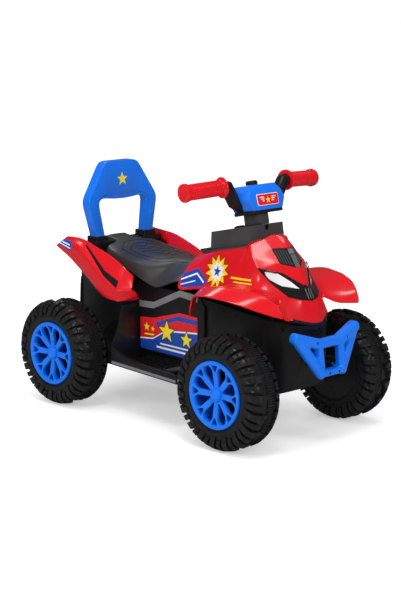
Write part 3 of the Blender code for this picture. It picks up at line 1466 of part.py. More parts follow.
def guard_bar(name, start, end, radius=GUARD_TUBE):
    start, end = Vector(start), Vector(end)
    reach = (end - start).normalized() * radius * 0.75
    return tube_path(name, [start - reach, start - reach * 0.3, end + reach * 0.3, end + reach],
                     [radius * 0.72, radius, radius, radius * 0.72], BLUE, 8)


def mirrored(point, sign):
    return (sign * point[0], point[1], point[2])


guard = guard_bar("bumper_guard", bar_top, mirrored(bar_top, -1))
join(guard, guard_bar("guard_low", bar_low, mirrored(bar_low, -1)))
for side, sign in SIDES:
    tip, top, low = (mirrored(point, sign) for point in (arm_tip, bar_top, bar_low))
    join(
        guard,
        guard_bar("guard_arm_" + side, top, tip),
        guard_bar("guard_brace_" + side, low, tip, GUARD_TUBE * 0.92),
        guard_bar("guard_upright_" + side, top, low, GUARD_TUBE * 0.95),
        box(
            "guard_stay_" + side,
            (low[0] - STAY_HALF, low[1] + 0.002, STAY_LOW),
            (low[0] + STAY_HALF, FRONT_FACE_Y - 3 * GAP, STAY_HIGH),
            BLUE,
        ),
    )


# Everything hangs on the vehicle's empty, which centres the whole box over the origin
front_end = bar_low[1] - GUARD_TUBE
rear_end = REAR_AXLE_Y + AXLE_Z
vehicle.location = (0, -(front_end + rear_end) / 2, 0)
for made in list(scene_objects):
    if made.parent is None and made is not vehicle:
        made.parent = vehicle
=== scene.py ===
# Child's ride-on all-terrain vehicle: moulded skins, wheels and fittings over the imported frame.
# Metres, +Z up, the vehicle faces -Y, the rider's right hand is at -X. Outlines and point tables are in mm.
import math
from collections import Counter

import bpy
import numpy as np
from mathutils import Matrix, Vector
from mathutils.bvhtree import BVHTree


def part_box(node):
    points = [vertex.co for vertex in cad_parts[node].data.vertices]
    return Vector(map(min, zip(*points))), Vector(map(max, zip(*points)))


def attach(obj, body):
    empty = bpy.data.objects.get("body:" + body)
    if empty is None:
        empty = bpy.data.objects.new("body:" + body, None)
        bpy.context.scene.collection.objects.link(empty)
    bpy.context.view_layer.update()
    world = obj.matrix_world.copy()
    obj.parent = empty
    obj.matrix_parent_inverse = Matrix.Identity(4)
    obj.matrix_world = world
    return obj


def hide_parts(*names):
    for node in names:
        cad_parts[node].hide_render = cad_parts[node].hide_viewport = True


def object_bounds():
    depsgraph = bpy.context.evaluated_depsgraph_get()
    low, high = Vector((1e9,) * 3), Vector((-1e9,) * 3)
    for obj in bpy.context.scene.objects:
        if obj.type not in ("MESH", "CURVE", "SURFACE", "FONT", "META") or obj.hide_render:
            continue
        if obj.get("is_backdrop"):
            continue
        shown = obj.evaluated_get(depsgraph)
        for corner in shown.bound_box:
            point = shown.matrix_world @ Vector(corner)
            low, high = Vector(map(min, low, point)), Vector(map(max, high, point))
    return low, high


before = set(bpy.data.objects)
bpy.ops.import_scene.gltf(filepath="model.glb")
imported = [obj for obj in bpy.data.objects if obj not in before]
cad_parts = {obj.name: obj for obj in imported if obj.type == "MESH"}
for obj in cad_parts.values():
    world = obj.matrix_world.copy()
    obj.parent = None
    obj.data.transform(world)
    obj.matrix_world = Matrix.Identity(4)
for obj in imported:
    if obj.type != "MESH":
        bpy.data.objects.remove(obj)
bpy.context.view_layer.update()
# the tables below have the cowl's foremost point at y = -308 mm, and the frame's lies this far behind it
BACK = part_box("front_cowl")[0].y + 0.308

# Studio: a white floor board under large soft lamps, with the camera at the photograph's angle.
# The board takes the soft shadows under the tyres. Only the small lamps show as highlights.


def wired(tree, made, inputs):
    """Gives each input of a shader node its value, or links it to a socket."""
    for key, value in inputs.items():
        if isinstance(value, bpy.types.NodeSocket):
            tree.links.new(value, made.inputs[key])
        else:
            made.inputs[key].default_value = value
    return made


def node(tree, kind, inputs, **settings):
    """A new shader node with its settings and inputs."""
    made = tree.nodes.new(kind)
    for key, value in settings.items():
        setattr(made, key, value)
    return wired(tree, made, inputs)


def facing(place, aim):
    return (Vector(aim) - Vector(place)).to_track_quat("-Z", "Y").to_euler()


bpy.ops.object.select_all(action="DESELECT")
bpy.ops.mesh.primitive_circle_add(vertices=96, radius=14, fill_type="NGON", location=(0, 0, 0))
floor = bpy.context.object
floor.name = "studio_floor"
floor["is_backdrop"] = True
board = bpy.data.materials.new("white_floor_board")
board.use_nodes = True
floor.data.materials.append(board)
sheet = board.node_tree
paint = wired(sheet, sheet.nodes["Principled BSDF"], {
    "Base Color": (0.86, 0.86, 0.86, 1), "Roughness": 0.6, "Specular IOR Level": 0.1})
rays = node(sheet, "ShaderNodeLightPath", {}).outputs
place = node(sheet, "ShaderNodeTexCoord", {}).outputs["Object"]
away = node(sheet, "ShaderNodeVectorMath", {0: place}, operation="LENGTH").outputs["Value"]
farther = node(sheet, "ShaderNodeMapRange", {
    "Value": away, "From Min": 0.25, "From Max": 0.9, "To Min": 0.43, "To Max": 0.75,
}, interpolation_type="SMOOTHSTEP").outputs["Result"]
seen = node(sheet, "ShaderNodeMath", {0: rays["Is Camera Ray"], 1: farther}, operation="MULTIPLY").outputs[0]
lift = node(sheet, "ShaderNodeEmission", {"Color": (1, 1, 1, 1), "Strength": seen}).outputs[0]
lifted = node(sheet, "ShaderNodeAddShader", {0: paint.outputs[0], 1: lift}).outputs[0]
dull = node(sheet, "ShaderNodeBsdfDiffuse", {"Color": (0.22, 0.22, 0.22, 1)}).outputs[0]
shown = node(sheet, "ShaderNodeMixShader", {"Fac": rays["Is Glossy Ray"], 1: lifted, 2: dull}).outputs[0]
wired(sheet, sheet.nodes["Material Output"], {"Surface": shown})

sky = bpy.data.worlds.new("studio_air")
sky.use_nodes = True
bpy.context.scene.world = sky
air = sky.node_tree
rays = node(air, "ShaderNodeLightPath", {}).outputs
fill, sheen, white = (
    node(air, "ShaderNodeBackground", {"Color": (1, 1, 1, 1), "Strength": strength}).outputs[0]
    for strength in (0.42, 0.09, 1.0))
lit = node(air, "ShaderNodeMixShader", {"Fac": rays["Is Glossy Ray"], 1: fill, 2: sheen}).outputs[0]
seen = node(air, "ShaderNodeMath", {0: rays["Is Camera Ray"], 1: rays["Is Transmission Ray"]},
            operation="MAXIMUM").outputs[0]
shown = node(air, "ShaderNodeMixShader", {"Fac": seen, 1: lit, 2: white}).outputs[0]
wired(air, air.nodes["World Output"], {"Surface": shown})

for name, place, aim, wide, high, power, shows in (
    ("overhead_box", (-0.3, -0.1, 2.3), (0, 0, 0.1), 2.4, 2.0, 18, False),
    ("front_left_box", (-1.1, -2.3, 1.5), (0, -0.1, 0.2), 1.0, 0.9, 18, False),
    ("side_box", (-2.4, 0.6, 1.3), (0, 0.1, 0.2), 0.9, 0.9, 11, False),
    ("back_right_box", (1.7, 1.6, 2.3), (0, 0, 0.3), 1.0, 0.8, 6, False),
    ("high_glint", (-0.9, -0.8, 2.5), (0, -0.1, 0.2), 0.6, 0.45, 9, True),
    ("side_glint", (-2.3, -0.4, 1.7), (0, 0, 0.2), 0.45, 0.32, 6, True),
    ("front_glint", (-0.5, -2.7, 1.2), (0, -0.2, 0.2), 0.4, 0.26, 4, True),
    ("back_glint", (0.7, 1.5, 2.1), (0, 0, 0.3), 0.6, 0.4, 5, True),
):
    bpy.ops.object.light_add(type="AREA", location=place, rotation=facing(place, aim))
    lamp = bpy.context.object
    lamp.name = name
    lamp.data.shape = "RECTANGLE"
    lamp.data.size = wide
    lamp.data.size_y = high
    lamp.data.energy = power
    lamp.visible_glossy = shows

eye = (-2.0477, -2.0876 + BACK, 0.8029)
bpy.ops.object.camera_add(location=eye, rotation=facing(eye, (0, 0.0008 + BACK, 0.216)))
camera = bpy.context.object
camera.name = "photo_camera"
camera.data.lens = 92.6
camera.data.sensor_width = 36
bpy.context.scene.camera = camera
bpy.context.scene.view_settings.view_transform = "Standard"

# Tyres: hollow blow-moulded black plastic with chunky shoulder blocks, a moulding line round the
# middle and a band of fine ribs beside it. Each is one moulding, pressed over its rim.
SIDES = (("left", 1), ("right", -1))


def mode(name):
    bpy.ops.object.mode_set(mode=name)


def clear():
    """Leaves edit mode and selects nothing, so that the next operator starts clean."""
    if bpy.context.object and bpy.context.object.mode != "OBJECT":
        mode("OBJECT")
    bpy.ops.object.select_all(action="DESELECT")


def take(piece):
    clear()
    piece.select_set(True)
    bpy.context.view_layer.objects.active = piece
    return piece


def dropped(*pieces):
    for piece in pieces:
        bpy.data.objects.remove(piece, do_unlink=True)


def linked(mesh):
    piece = bpy.data.objects.new(mesh.name, mesh)
    bpy.context.scene.collection.objects.link(piece)
    return take(piece)


def drawn(name, points, faces=(), edges=()):
    """A piece drawn corner by corner, where no primitive has its shape."""
    mesh = bpy.data.meshes.new(name)
    mesh.from_pydata([tuple(p) for p in points], list(edges), [tuple(f) for f in faces])
    return linked(mesh)


def cuboid(name, size, middle=(0, 0, 0)):
    """A box, left in edit mode with all of it selected."""
    clear()
    bpy.ops.mesh.primitive_cube_add(size=1)
    box = bpy.context.object
    box.name = name
    mode("EDIT")
    bpy.ops.transform.resize(value=size)
    bpy.ops.transform.translate(value=middle)
    return box


def opened(piece):
    """Edit mode with everything selected."""
    take(piece)
    mode("EDIT")
    bpy.ops.mesh.select_all(action="SELECT")


def pick(piece, kind, test):
    """In edit mode, selects the faces or edges that pass a test."""
    take(piece)
    mode("EDIT")
    bpy.ops.mesh.select_mode(type=kind)
    bpy.ops.mesh.select_all(action="DESELECT")
    mode("OBJECT")
    for item in piece.data.polygons if kind == "FACE" else piece.data.edges:
        item.select = test(item)
    mode("EDIT")


def lengthwise(edge):
    a, b = (edge.id_data.vertices[i].co for i in edge.vertices)
    return abs((b - a).normalized().x) > 0.9


def without(piece, test):
    """Deletes the faces that pass a test."""
    pick(piece, "FACE", test)
    bpy.ops.mesh.delete(type="FACE")
    mode("OBJECT")
    return piece


def weld(piece):
    """Merges the corners that meet and turns all faces outwards."""
    opened(piece)
    bpy.ops.mesh.remove_doubles(threshold=0.00002)
    bpy.ops.mesh.normals_make_consistent(inside=False)
    mode("OBJECT")
    return piece


def apply_all(piece):
    take(piece)
    for change in list(piece.modifiers):
        bpy.ops.object.modifier_apply(modifier=change.name)
    return piece


def changed(piece, kind, **settings):
    """Applies one modifier with its settings."""
    change = piece.modifiers.new(kind.lower(), kind)
    for key, value in settings.items():
        setattr(change, key, value)
    return apply_all(piece)


def rounded(piece, width, segments=3, angle=30):
    """Rounds the edges that are sharper than an angle, as a mould's radius does."""
    return changed(piece, "BEVEL", width=width, segments=segments, limit_method="ANGLE",
                   angle_limit=math.radians(angle))


def smooth(piece, angle=35):
    take(piece)
    bpy.ops.object.shade_smooth_by_angle(angle=math.radians(angle))
    return piece


def joined(name, pieces):
    clear()
    for piece in pieces:
        piece.select_set(True)
    bpy.context.view_layer.objects.active = pieces[0]
    bpy.ops.object.join()
    pieces[0].name = name
    pieces[0].data.name = name
    return pieces[0]


def twin(piece, name):
    copy = piece.copy()
    copy.data = piece.data.copy()
    copy.name = name
    copy.data.name = name
    bpy.context.scene.collection.objects.link(copy)
    return copy


def carried(piece, turn=Matrix.Identity(4), shift=(0, 0, 0), mirror=False):
    """Turns and moves the mesh itself, so that the object stays at the origin."""
    flip = Matrix.Diagonal((-1, 1, 1, 1)) if mirror else Matrix.Identity(4)
    piece.data.transform(Matrix.Translation(shift) @ turn @ flip)
    if mirror:
        piece.data.flip_normals()
    return piece


def boolean(piece, cutter, operation="DIFFERENCE"):
    changed(piece, "BOOLEAN", operation=operation, solver="EXACT", object=cutter)
    dropped(cutter)
    return piece


def spun(name, profile, steps, closed=True):
    """A line of (radius, place along X) spun round the X axis."""
    count = len(profile)
    edges = [(i, (i + 1) % count) for i in range(count if closed else count - 1)]
    piece = drawn(name, [(along, 0.0, radius) for radius, along in profile], edges=edges)
    opened(piece)
    bpy.ops.mesh.spin(steps=steps, angle=2 * math.pi, center=(0, 0, 0), axis=(1, 0, 0))
    return weld(piece)


def through(points, steps):
    """A smooth line through the points."""
    line = [Vector(p) for p in points]
    line = [line[0] * 2 - line[1]] + line + [line[-1] * 2 - line[-2]]
    out = []
    for a, b, c, d in zip(line, line[1:], line[2:], line[3:]):
        for k in range(steps):
            t = k / steps
            bend = (2 * a - 5 * b + 4 * c - d) * t * t + (3 * b - a - 3 * c + d) * t ** 3
            out.append(0.5 * ((2 * b) + (c - a) * t + bend))
    return out + [line[-2]]


SLOTS = {}


def fitted(piece, material, body="body", slot=None):
    """Gives a piece its material and body, and works out a finish slot that it does not use. A piece called
    NODE_look stands for that node.
    """
    piece.data.materials.clear()
    piece.data.materials.append(material)
    for face in piece.data.polygons:
        face.material_index = 0
    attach(piece, body)
    slot = slot or SLOTS[material.name]
    if piece.name.endswith("_look"):
        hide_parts(piece.name[:-5])
    return piece


def moulding(name, slot, colour, gloss, grain=0.0, pores=900, cloud=0.1, scuff=0.1, coat=0.0, worn=None):
    """Moulded plastic: slight colour drift, cloudy gloss, fine texture, faint scuffs and rubbed edges."""
    made = bpy.data.materials.new(name)
    made.use_nodes = True
    SLOTS[name] = slot
    tree = made.node_tree
    place = node(tree, "ShaderNodeTexCoord", {}).outputs["Object"]

    def noise(scale, detail, source=place):
        inputs = {"Vector": source, "Scale": scale, "Detail": detail}
        return node(tree, "ShaderNodeTexNoise", inputs).outputs["Fac"]

    def spread(source, low, high, to_low, to_high):
        ends = {"From Min": low, "From Max": high, "To Min": to_low, "To Max": to_high}
        return node(tree, "ShaderNodeMapRange", {"Value": source, **ends}).outputs["Result"]

    def maths(first, second, **settings):
        return node(tree, "ShaderNodeMath", {0: first, 1: second}, **settings).outputs[0]

    def blend(first, second, share):
        inputs = {"Factor": share, 6: first, 7: second}
        return node(tree, "ShaderNodeMix", inputs, data_type="RGBA").outputs[2]

    def shade(factor, lift=0.0):
        return (*(min(1.0, c * factor + lift) for c in colour), 1)

    drift = blend(shade(0.92), shade(1.05, 0.003), spread(noise(9.0, 3.0), 0.3, 0.7, 0, 1))
    edge = node(tree, "ShaderNodeNewGeometry", {}).outputs["Pointiness"]
    rubbed = maths(spread(edge, 0.53, 0.62, 0, 0.45), spread(noise(160.0, 4.0), 0.4, 0.65, 0.2, 1),
                   operation="MULTIPLY")
    lengthened = {"Vector": place, "Scale": (1, 14, 5), "Rotation": (0.4, 0.3, 0.6)}
    along = node(tree, "ShaderNodeMapping", lengthened).outputs["Vector"]
    scuffs = spread(noise(60.0, 6.0, along), 0.66, 0.74, 0, scuff)
    clouds = spread(noise(28.0, 5.0), 0.25, 0.75, gloss - cloud * 0.4, gloss + cloud)
    if grain > 0:
        cells = node(tree, "ShaderNodeTexVoronoi", {"Vector": place, "Scale": pores})
        relief = {"Height": cells.outputs["Distance"], "Strength": grain, "Distance": 0.0002}
    else:
        relief = {"Height": noise(230.0, 2.0), "Strength": 0.1, "Distance": 0.0001}
    wired(tree, tree.nodes["Principled BSDF"], {
        "Base Color": blend(drift, (*worn, 1) if worn else shade(1.25, 0.02), rubbed),
        "Roughness": maths(clouds, scuffs, use_clamp=True),
        "Normal": node(tree, "ShaderNodeBump", relief).outputs["Normal"],
        "Coat Weight": coat,
        "Coat Roughness": 0.06,
    })
    return made


tyre_black = moulding("tyre_black_moulding", "tyre_plastic", (0.009, 0.009, 0.01), 0.28, grain=0.2,
                      pores=1500)
tyre_low, tyre_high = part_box("tyre_front_left")
TYRE_RADIUS = (tyre_high.z - tyre_low.z) / 2
TYRE_HALF = (tyre_high.x - tyre_low.x) / 2
RIM_SEAT = 0.062
BLOCK_HEIGHT = 0.007
PITCHES = 18
SLANT = 0.16
carcass = TYRE_RADIUS - BLOCK_HEIGHT
half_section = [(x / 1000, carcass - drop / 1000) for x, drop in (
    (0, 0), (11, 0), (19, 1.1), (25, 4.2), (30, 9.8), (33.2, 17), (34.7, 24), (34.4, 29.2), (32.6, 33.5),
    (31.4, 35.6))]
half_section += [(0.0326, RIM_SEAT + 0.0012), (0.0322, RIM_SEAT)]
section = [(p.x, p.y) for p in through([(x, r, 0) for x, r in half_section], 5)]
inner_wall = [
    (RIM_SEAT - 0.009, 0.006 - TYRE_HALF), (0.0112, 0.007 - TYRE_HALF), (0.0112, 0.01 - TYRE_HALF),
    (RIM_SEAT - 0.006, 0.01 - TYRE_HALF), (carcass - 0.005, 0.015 - TYRE_HALF),
    (carcass - 0.005, TYRE_HALF - 0.015), (RIM_SEAT, TYRE_HALF - 0.011),
]
near_side = [(r, x) for x, r in reversed(section)]
far_side = [(r, -x) for x, r in section[1:-8]]
tyre_skin = spun("tyre_skin", near_side + far_side + inner_wall, 128)
lengths = np.cumsum([0.0] + [math.dist(a, b) for a, b in zip(section, section[1:])])


def laid_on_tread(piece, turn, side):
    """Wraps a flat piece round the tyre: X runs from the middle down the wall, Y round, Z outwards."""
    for vertex in piece.data.vertices:
        across, around, lift = vertex.co
        i = min(np.searchsorted(lengths, max(across, 0.0), "right"), len(section) - 1) - 1
        share = (across - lengths[i]) / (lengths[i + 1] - lengths[i])
        (xa, ra), (xb, rb) = section[i], section[i + 1]
        normal = Vector((ra - rb, xb - xa)).normalized()
        # the blocks fade out down the wall, and their ends sweep round
        fade = min(1.0, max(0.45, (0.05 - across) / 0.013))
        lift = lift * (fade if lift > 0 else 1.0)
        x = min(xa + (xb - xa) * share + normal.x * lift, TYRE_HALF - 0.0001)
        r = min(ra + (rb - ra) * share + normal.y * lift, TYRE_RADIUS)
        beyond = across - 0.02
        angle = turn + (around + SLANT * beyond + 7.0 * max(0.0, beyond) ** 2) / carcass
        vertex.co = (side * x, r * math.sin(angle), r * math.cos(angle))
    if side < 0:
        piece.data.flip_normals()
    return piece


def tread_block(name, near, far, wide, cuts, slots):
    """A flat block of tread from near to far of the tyre's middle, with shallow moulded slots."""
    size = (far - near, wide, BLOCK_HEIGHT + 0.0012)
    block = cuboid(name, size, ((near + far) / 2, 0, BLOCK_HEIGHT / 2 - 0.0006))
    pick(block, "EDGE", lengthwise)
    bpy.ops.mesh.subdivide(number_cuts=cuts)
    for low, high in slots:
        pick(block, "FACE", lambda face: face.normal.z > 0.9 and low < face.center.x < high)
        bpy.ops.mesh.inset(thickness=wide * 0.2, depth=-0.0018, use_individual=False)
    mode("OBJECT")
    return rounded(block, 0.0006, 2, 40)


long_block = tread_block("long_block", 0.0105, 0.0465, 0.0128, 10, [(0.014, 0.0245), (0.03, 0.039)])
inner_block = tread_block("inner_block", 0.019, 0.0465, 0.014, 8, [(0.0215, 0.0285)])
step_block = tread_block("step_block", 0.0065, 0.015, 0.007, 2, [])
short_block = tread_block("short_block", 0.017, 0.0415, 0.0098, 7, [(0.0265, 0.0335)])
tread = []
for k in range(PITCHES):
    for side, offset, blocks in (
        (1, 0.0, ((long_block, -0.0084), (step_block, -0.0042), (short_block, 0.009))),
        (-1, 0.5, ((inner_block, -0.0086), (short_block, 0.0088))),
    ):
        turn = 2 * math.pi * (k + offset) / PITCHES
        for block, shift in blocks:
            tread.append(laid_on_tread(twin(block, "tread"), turn + shift / carcass, side))
dropped(long_block, inner_block, step_block, short_block)

line_low, line_high = carcass - 0.0006, carcass + 0.002
moulding_line = spun("moulding_line", [
    (line_low, -0.0009), (line_high, -0.0005), (line_high, 0.0005), (line_low, 0.0009)], 128)
FINE_RIBS = 130
fine_rib = cuboid("fine_rib", (0.014, 0.002, 0.003))
mode("OBJECT")
fine_ribs = []
for k in range(FINE_RIBS):
    turn = Matrix.Rotation(2 * math.pi * k / FINE_RIBS, 4, "X")
    place = Matrix.Translation((-0.0098, 0, carcass + 0.0002))
    fine_ribs.append(carried(twin(fine_rib, "rib"), turn @ place))
dropped(fine_rib)
tyre = smooth(joined("tyre", [tyre_skin, moulding_line] + tread + fine_ribs), 32)

WHEELS = {}
for end in ("front", "rear"):
    for side, sign in SIDES:
        low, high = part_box(f"tyre_{end}_{side}")
        WHEELS[f"{end}_{side}"] = (sign, (low + high) / 2)


def on_wheels(part, look, material):
    """Puts a copy of one wheel's piece on each of the four, its outer face outwards."""
    for tag, (sign, centre) in WHEELS.items():
        copy = twin(look, f"{part}_{tag}_look")
        carried(copy, mirror=sign < 0)
        carried(copy, shift=centre)
        fitted(copy, material, "wheel_" + tag)
    dropped(look)


on_wheels("tyre", tyre, tyre_black)

# Rims: bright blue gloss mouldings, a dished disc with eight forked spokes and a barrel that
# the tyre grips. The windows between the forks are open right through the disc.


def tube(name, points, facets):
    """A closed tube over its rings of points."""
    last = len(points) - facets
    faces = [tuple(range(facets)), tuple(range(last, len(points)))[::-1]]
    for start in range(0, last, facets):
        for k in range(facets):
            a, b = start + k, start + (k + 1) % facets
            faces.append((a, b, b + facets, a + facets))
    return weld(drawn(name, points, faces))


def cut_sheet(name, outline, near, far, place):
    """A flat outline with a thickness, in mm, each corner put where place says."""
    corners = [place(a / 1000, b / 1000, depth / 1000) for depth in (near, far) for a, b in outline]
    return tube(name, corners, len(outline))


bright_blue = moulding("bright_blue_moulding", "blue_plastic", (0.003, 0.18, 0.88), 0.2, coat=0.25,
                       scuff=0.08)
RIM_FACE = TYRE_HALF - 0.0006
# each corner's radius and its depth behind the face, in mm
rim_line = [(r / 1000, RIM_FACE - back / 1000) for r, back in (
    (61.7, 2), (61.7, 60.2), (59, 60.2), (58.6, 11), (50, 10.5), (30, 12.5), (12, 14.5), (10, 14.5),
    (10, 69.2), (5.6, 69.2), (5.6, 8), (13.5, 7.8), (20, 7), (33, 5.4), (46, 3.4), (54.5, 2), (55.2, 0.6),
    (56.2, 0), (60, 0), (61.2, 0.6))]
rim = spun("rim", rim_line, 96)
SPOKES = 8
window = [(16, 1.8), (30, 6.4), (40, 10.8), (47, 11), (53.6, 6.4)]
fork = [(41.5, 1.2), (48, 5.2), (54, 7.2)]
for k in range(SPOKES):
    middle = 2 * math.pi * (k + 0.5) / SPOKES
    for outline, turn in ((window, middle), (fork, middle + math.pi / SPOKES)):
        loop = outline + [(r, -t) for r, t in reversed(outline)]
        cutter = cut_sheet("rim_window", loop, -4, 60, lambda r, t, x: (x, t, r))
        if outline is window:
            pick(cutter, "EDGE", lengthwise)
            bpy.ops.mesh.bevel(offset=0.0012, segments=3, clamp_overlap=True)
            mode("OBJECT")
        carried(cutter, Matrix.Rotation(turn, 4, "X"), (0.01, 0, 0))
        boolean(rim, cutter)
rounded(rim, 0.0009, 2, 38)
on_wheels("rim", smooth(rim, 40), bright_blue)

# Hub caps: small blue domes that clip over the axle's end.
# Each is one thin moulding, open at the back.
hub_line = [(r / 1000, RIM_FACE + x / 1000) for r, x in (
    (0, 0.4), (5, 0.2), (8.5, -1), (11, -3.2), (12.4, -6), (12.4, -7.6), (5.6, -7.6), (5.6, -3), (0, -3))]
hub_cap = smooth(spun("hub_cap", hub_line, 48, closed=False), 40)
on_wheels("hub_cap", hub_cap, bright_blue)

# Front axle and steering parts under the nose: black beam, steel kingpins, black knuckles with
# their stub axles, and the steel link between their arms.


def dressed(name, material, width, segments=3, angle=30, body="body", slot=None):
    """A merged copy of a frame piece stands for it, its flat faces made one and its edges rounded."""
    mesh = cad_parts[name].data.copy()
    mesh.name = name + "_look"
    piece = linked(mesh)
    opened(piece)
    bpy.ops.mesh.remove_doubles(threshold=0.00001)
    bpy.ops.mesh.dissolve_limited(angle_limit=math.radians(2))
    mode("OBJECT")
    rounded(piece, width, segments, angle)
    fitted(smooth(piece, 32), material, body, slot)


def kept(material, *names):
    """Frame pieces whose shape is right as it is get their finish."""
    for name in names:
        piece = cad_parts[name]
        if not piece.material_slots:
            piece.data.materials.append(material)
        for holder in piece.material_slots:
            holder.material = material


black_shell = moulding("black_grained_moulding", "black_plastic", (0.006, 0.006, 0.007), 0.3, grain=0.22,
                       pores=1300, cloud=0.12)
drawn_steel = moulding("drawn_steel", "steel", (0.55, 0.56, 0.58), 0.28, cloud=0.15,
                       worn=(0.75, 0.75, 0.76))
drawn_steel.node_tree.nodes["Principled BSDF"].inputs["Metallic"].default_value = 1.0
dressed("front_axle_beam", black_shell, 0.001, 2)
for side, sign in SIDES:
    dressed("knuckle_" + side, black_shell, 0.0008, 2, body="knuckle_" + side)
kept(drawn_steel, "kingpin_left", "kingpin_right", "steering_link")

# Drive in the tub's rear: steel axle in nylon bushes, grey gearbox with its gears, motor and battery.
# All of it is hidden when the tub is closed, and is screwed to it from inside.
natural_nylon = moulding("natural_nylon", "nylon", (0.62, 0.6, 0.52), 0.45, cloud=0.08)
battery_grey = moulding("battery_case_grey", "battery_case", (0.1, 0.11, 0.12), 0.5, grain=0.3, pores=1100)
dark_grey = moulding("dark_grey_grained_moulding", "dark_grey_plastic", (0.05, 0.05, 0.052), 0.36,
                     grain=0.35, pores=1200, cloud=0.12)
kept(drawn_steel, "rear_axle", "motor")
kept(natural_nylon, "axle_bush_left", "axle_bush_right", "drive_gear", "motor_pinion")
kept(dark_grey, "gearbox_housing", "pedal_switch")
kept(battery_grey, "battery")

# Chassis tub: black blow-moulded body that carries everything, with the rear deck and nose lip.
# Its edges have the wide radius of a blow mould.
dressed("chassis", black_shell, 0.0022)

# Footboards with their mudguard walls, side panels and the foot pedal: black mouldings screwed to the
# tub. A mid grey strip lies along each footboard's outer edge.


def on_side(face, sign):
    """Where an outline (y, z) lies on an upright face of one side."""
    return lambda y, z, depth: Vector((sign * (face + depth), y + BACK, z))


# mid grey for the footboard strips and grille bars, and also the painted highlight of the side panels' ledge
grey_and_ledge_highlight = moulding("mid_grey_moulding", "dark_grey_plastic", (0.17, 0.17, 0.175), 0.38, grain=0.2,
                     pores=1200)
FOOT_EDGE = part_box("footboard_left")[1].x
edge_line = [(-83, 93), (95, 99.8), (95, 105), (-83, 98)]
for side, sign in SIDES:
    dressed("footboard_" + side, black_shell, 0.0013)
    dressed("side_panel_" + side, black_shell, 0.0012)
    strip = cut_sheet("footboard_edge_" + side, edge_line, 0, 0.7, on_side(FOOT_EDGE, sign))
    fitted(strip, grey_and_ledge_highlight)
dressed("foot_pedal", dark_grey, 0.001, body="foot_pedal")

# Side panels: a grey band of painted highlight along the top, where light falls on the moulded ledge, and a
# printed sheet of red, blue, white and yellow glued on each panel. Plain stars and bars only.


def star(across, up, outer, tips=5, inner=0.42, turn=0.0):
    """A plain star's outline."""
    radii = [outer, outer * inner] * tips
    angles = [turn + i * math.pi / tips for i in range(2 * tips)]
    return [(across + r * math.sin(angle), up + r * math.cos(angle)) for r, angle in zip(radii, angles)]


sun_yellow = moulding("sun_yellow_print", None, (0.93, 0.7, 0.015), 0.35, scuff=0.06, cloud=0.05)
print_red = moulding("red_print", "red_shell", (0.7, 0.006, 0.012), 0.33, scuff=0.08)
print_blue = moulding("blue_print", "blue_plastic", (0.006, 0.06, 0.42), 0.33, scuff=0.08)
print_white = moulding("white_print", "lens_white", (0.86, 0.87, 0.88), 0.33, scuff=0.05, cloud=0.05,
                       worn=(0.9, 0.9, 0.9))
print_black = moulding("black_print", "black_plastic", (0.01, 0.01, 0.011), 0.33, scuff=0.06)
PANEL_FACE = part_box("side_panel_left")[1].x
panel_prints = [
    # painted highlight: a grey sheet where light falls on the upward-facing ledge along the panel's top
    ("grey_band", grey_and_ledge_highlight, 0, 0.6, [
        [(90, 203), (50, 204.5), (-22.5, 237), (-70, 233), (-70, 245.5),
         (-22.5, 249.5), (50, 217), (90, 215.5)]]),
    ("panel_sheet", print_red, 0, 0.3, [
        [(88, 122), (88, 183), (50, 186), (-22.5, 206), (-70, 204), (-70, 120)]]),
    ("panel_blue", print_blue, 0.3, 0.5, [
        [(88, 122), (88, 140), (52, 144), (16, 164), (-70, 172), (-70, 120)],
        [(42, 170), (-15, 190), (-70, 189), (-70, 198), (-18, 199), (42, 179)]]),
    ("panel_white", print_white, 0.5, 0.7, [
        [(88, 140), (88, 143), (51.5, 146.8), (15, 166.8), (-70, 175), (-70, 172),
         (16, 164), (52, 144)],
        [(42, 129), (42, 133), (-56, 131.5), (-56, 127.5)],
        [(32, 137), (32, 140), (-48, 139), (-48, 136)]]),
    ("panel_black", print_black, 0.7, 0.9, [
        star(13, 164, 26.2), star(-41, 156, 20)]),
    ("panel_yellow", sun_yellow, 0.9, 1.1, [
        star(13, 164, 22.2), star(-41, 156, 16.5), star(69, 166, 8.8), star(52, 164, 5.5),
        [(75, 150), (75, 153), (47, 154.5), (50, 151.2)]]),
]
for side, sign in SIDES:
    for name, material, near, far, outlines in panel_prints:
        sheets = [cut_sheet(name, outline, near, far, on_side(PANEL_FACE, sign)) for outline in outlines]
        fitted(joined(f"{name}_{side}", sheets), material)

# Front cowl: one gloss red skin with hood, nose and both wings, 3 mm thick. The bezel, lenses, vent
# panels and grille strip share its surface and lie in it with fine parting lines.


def table(text):
    """Named points, each with its three coordinates in mm."""
    rows = (row.split() for row in text.split(","))
    return {key: (float(x), float(y), float(z)) for key, x, y, z in rows}


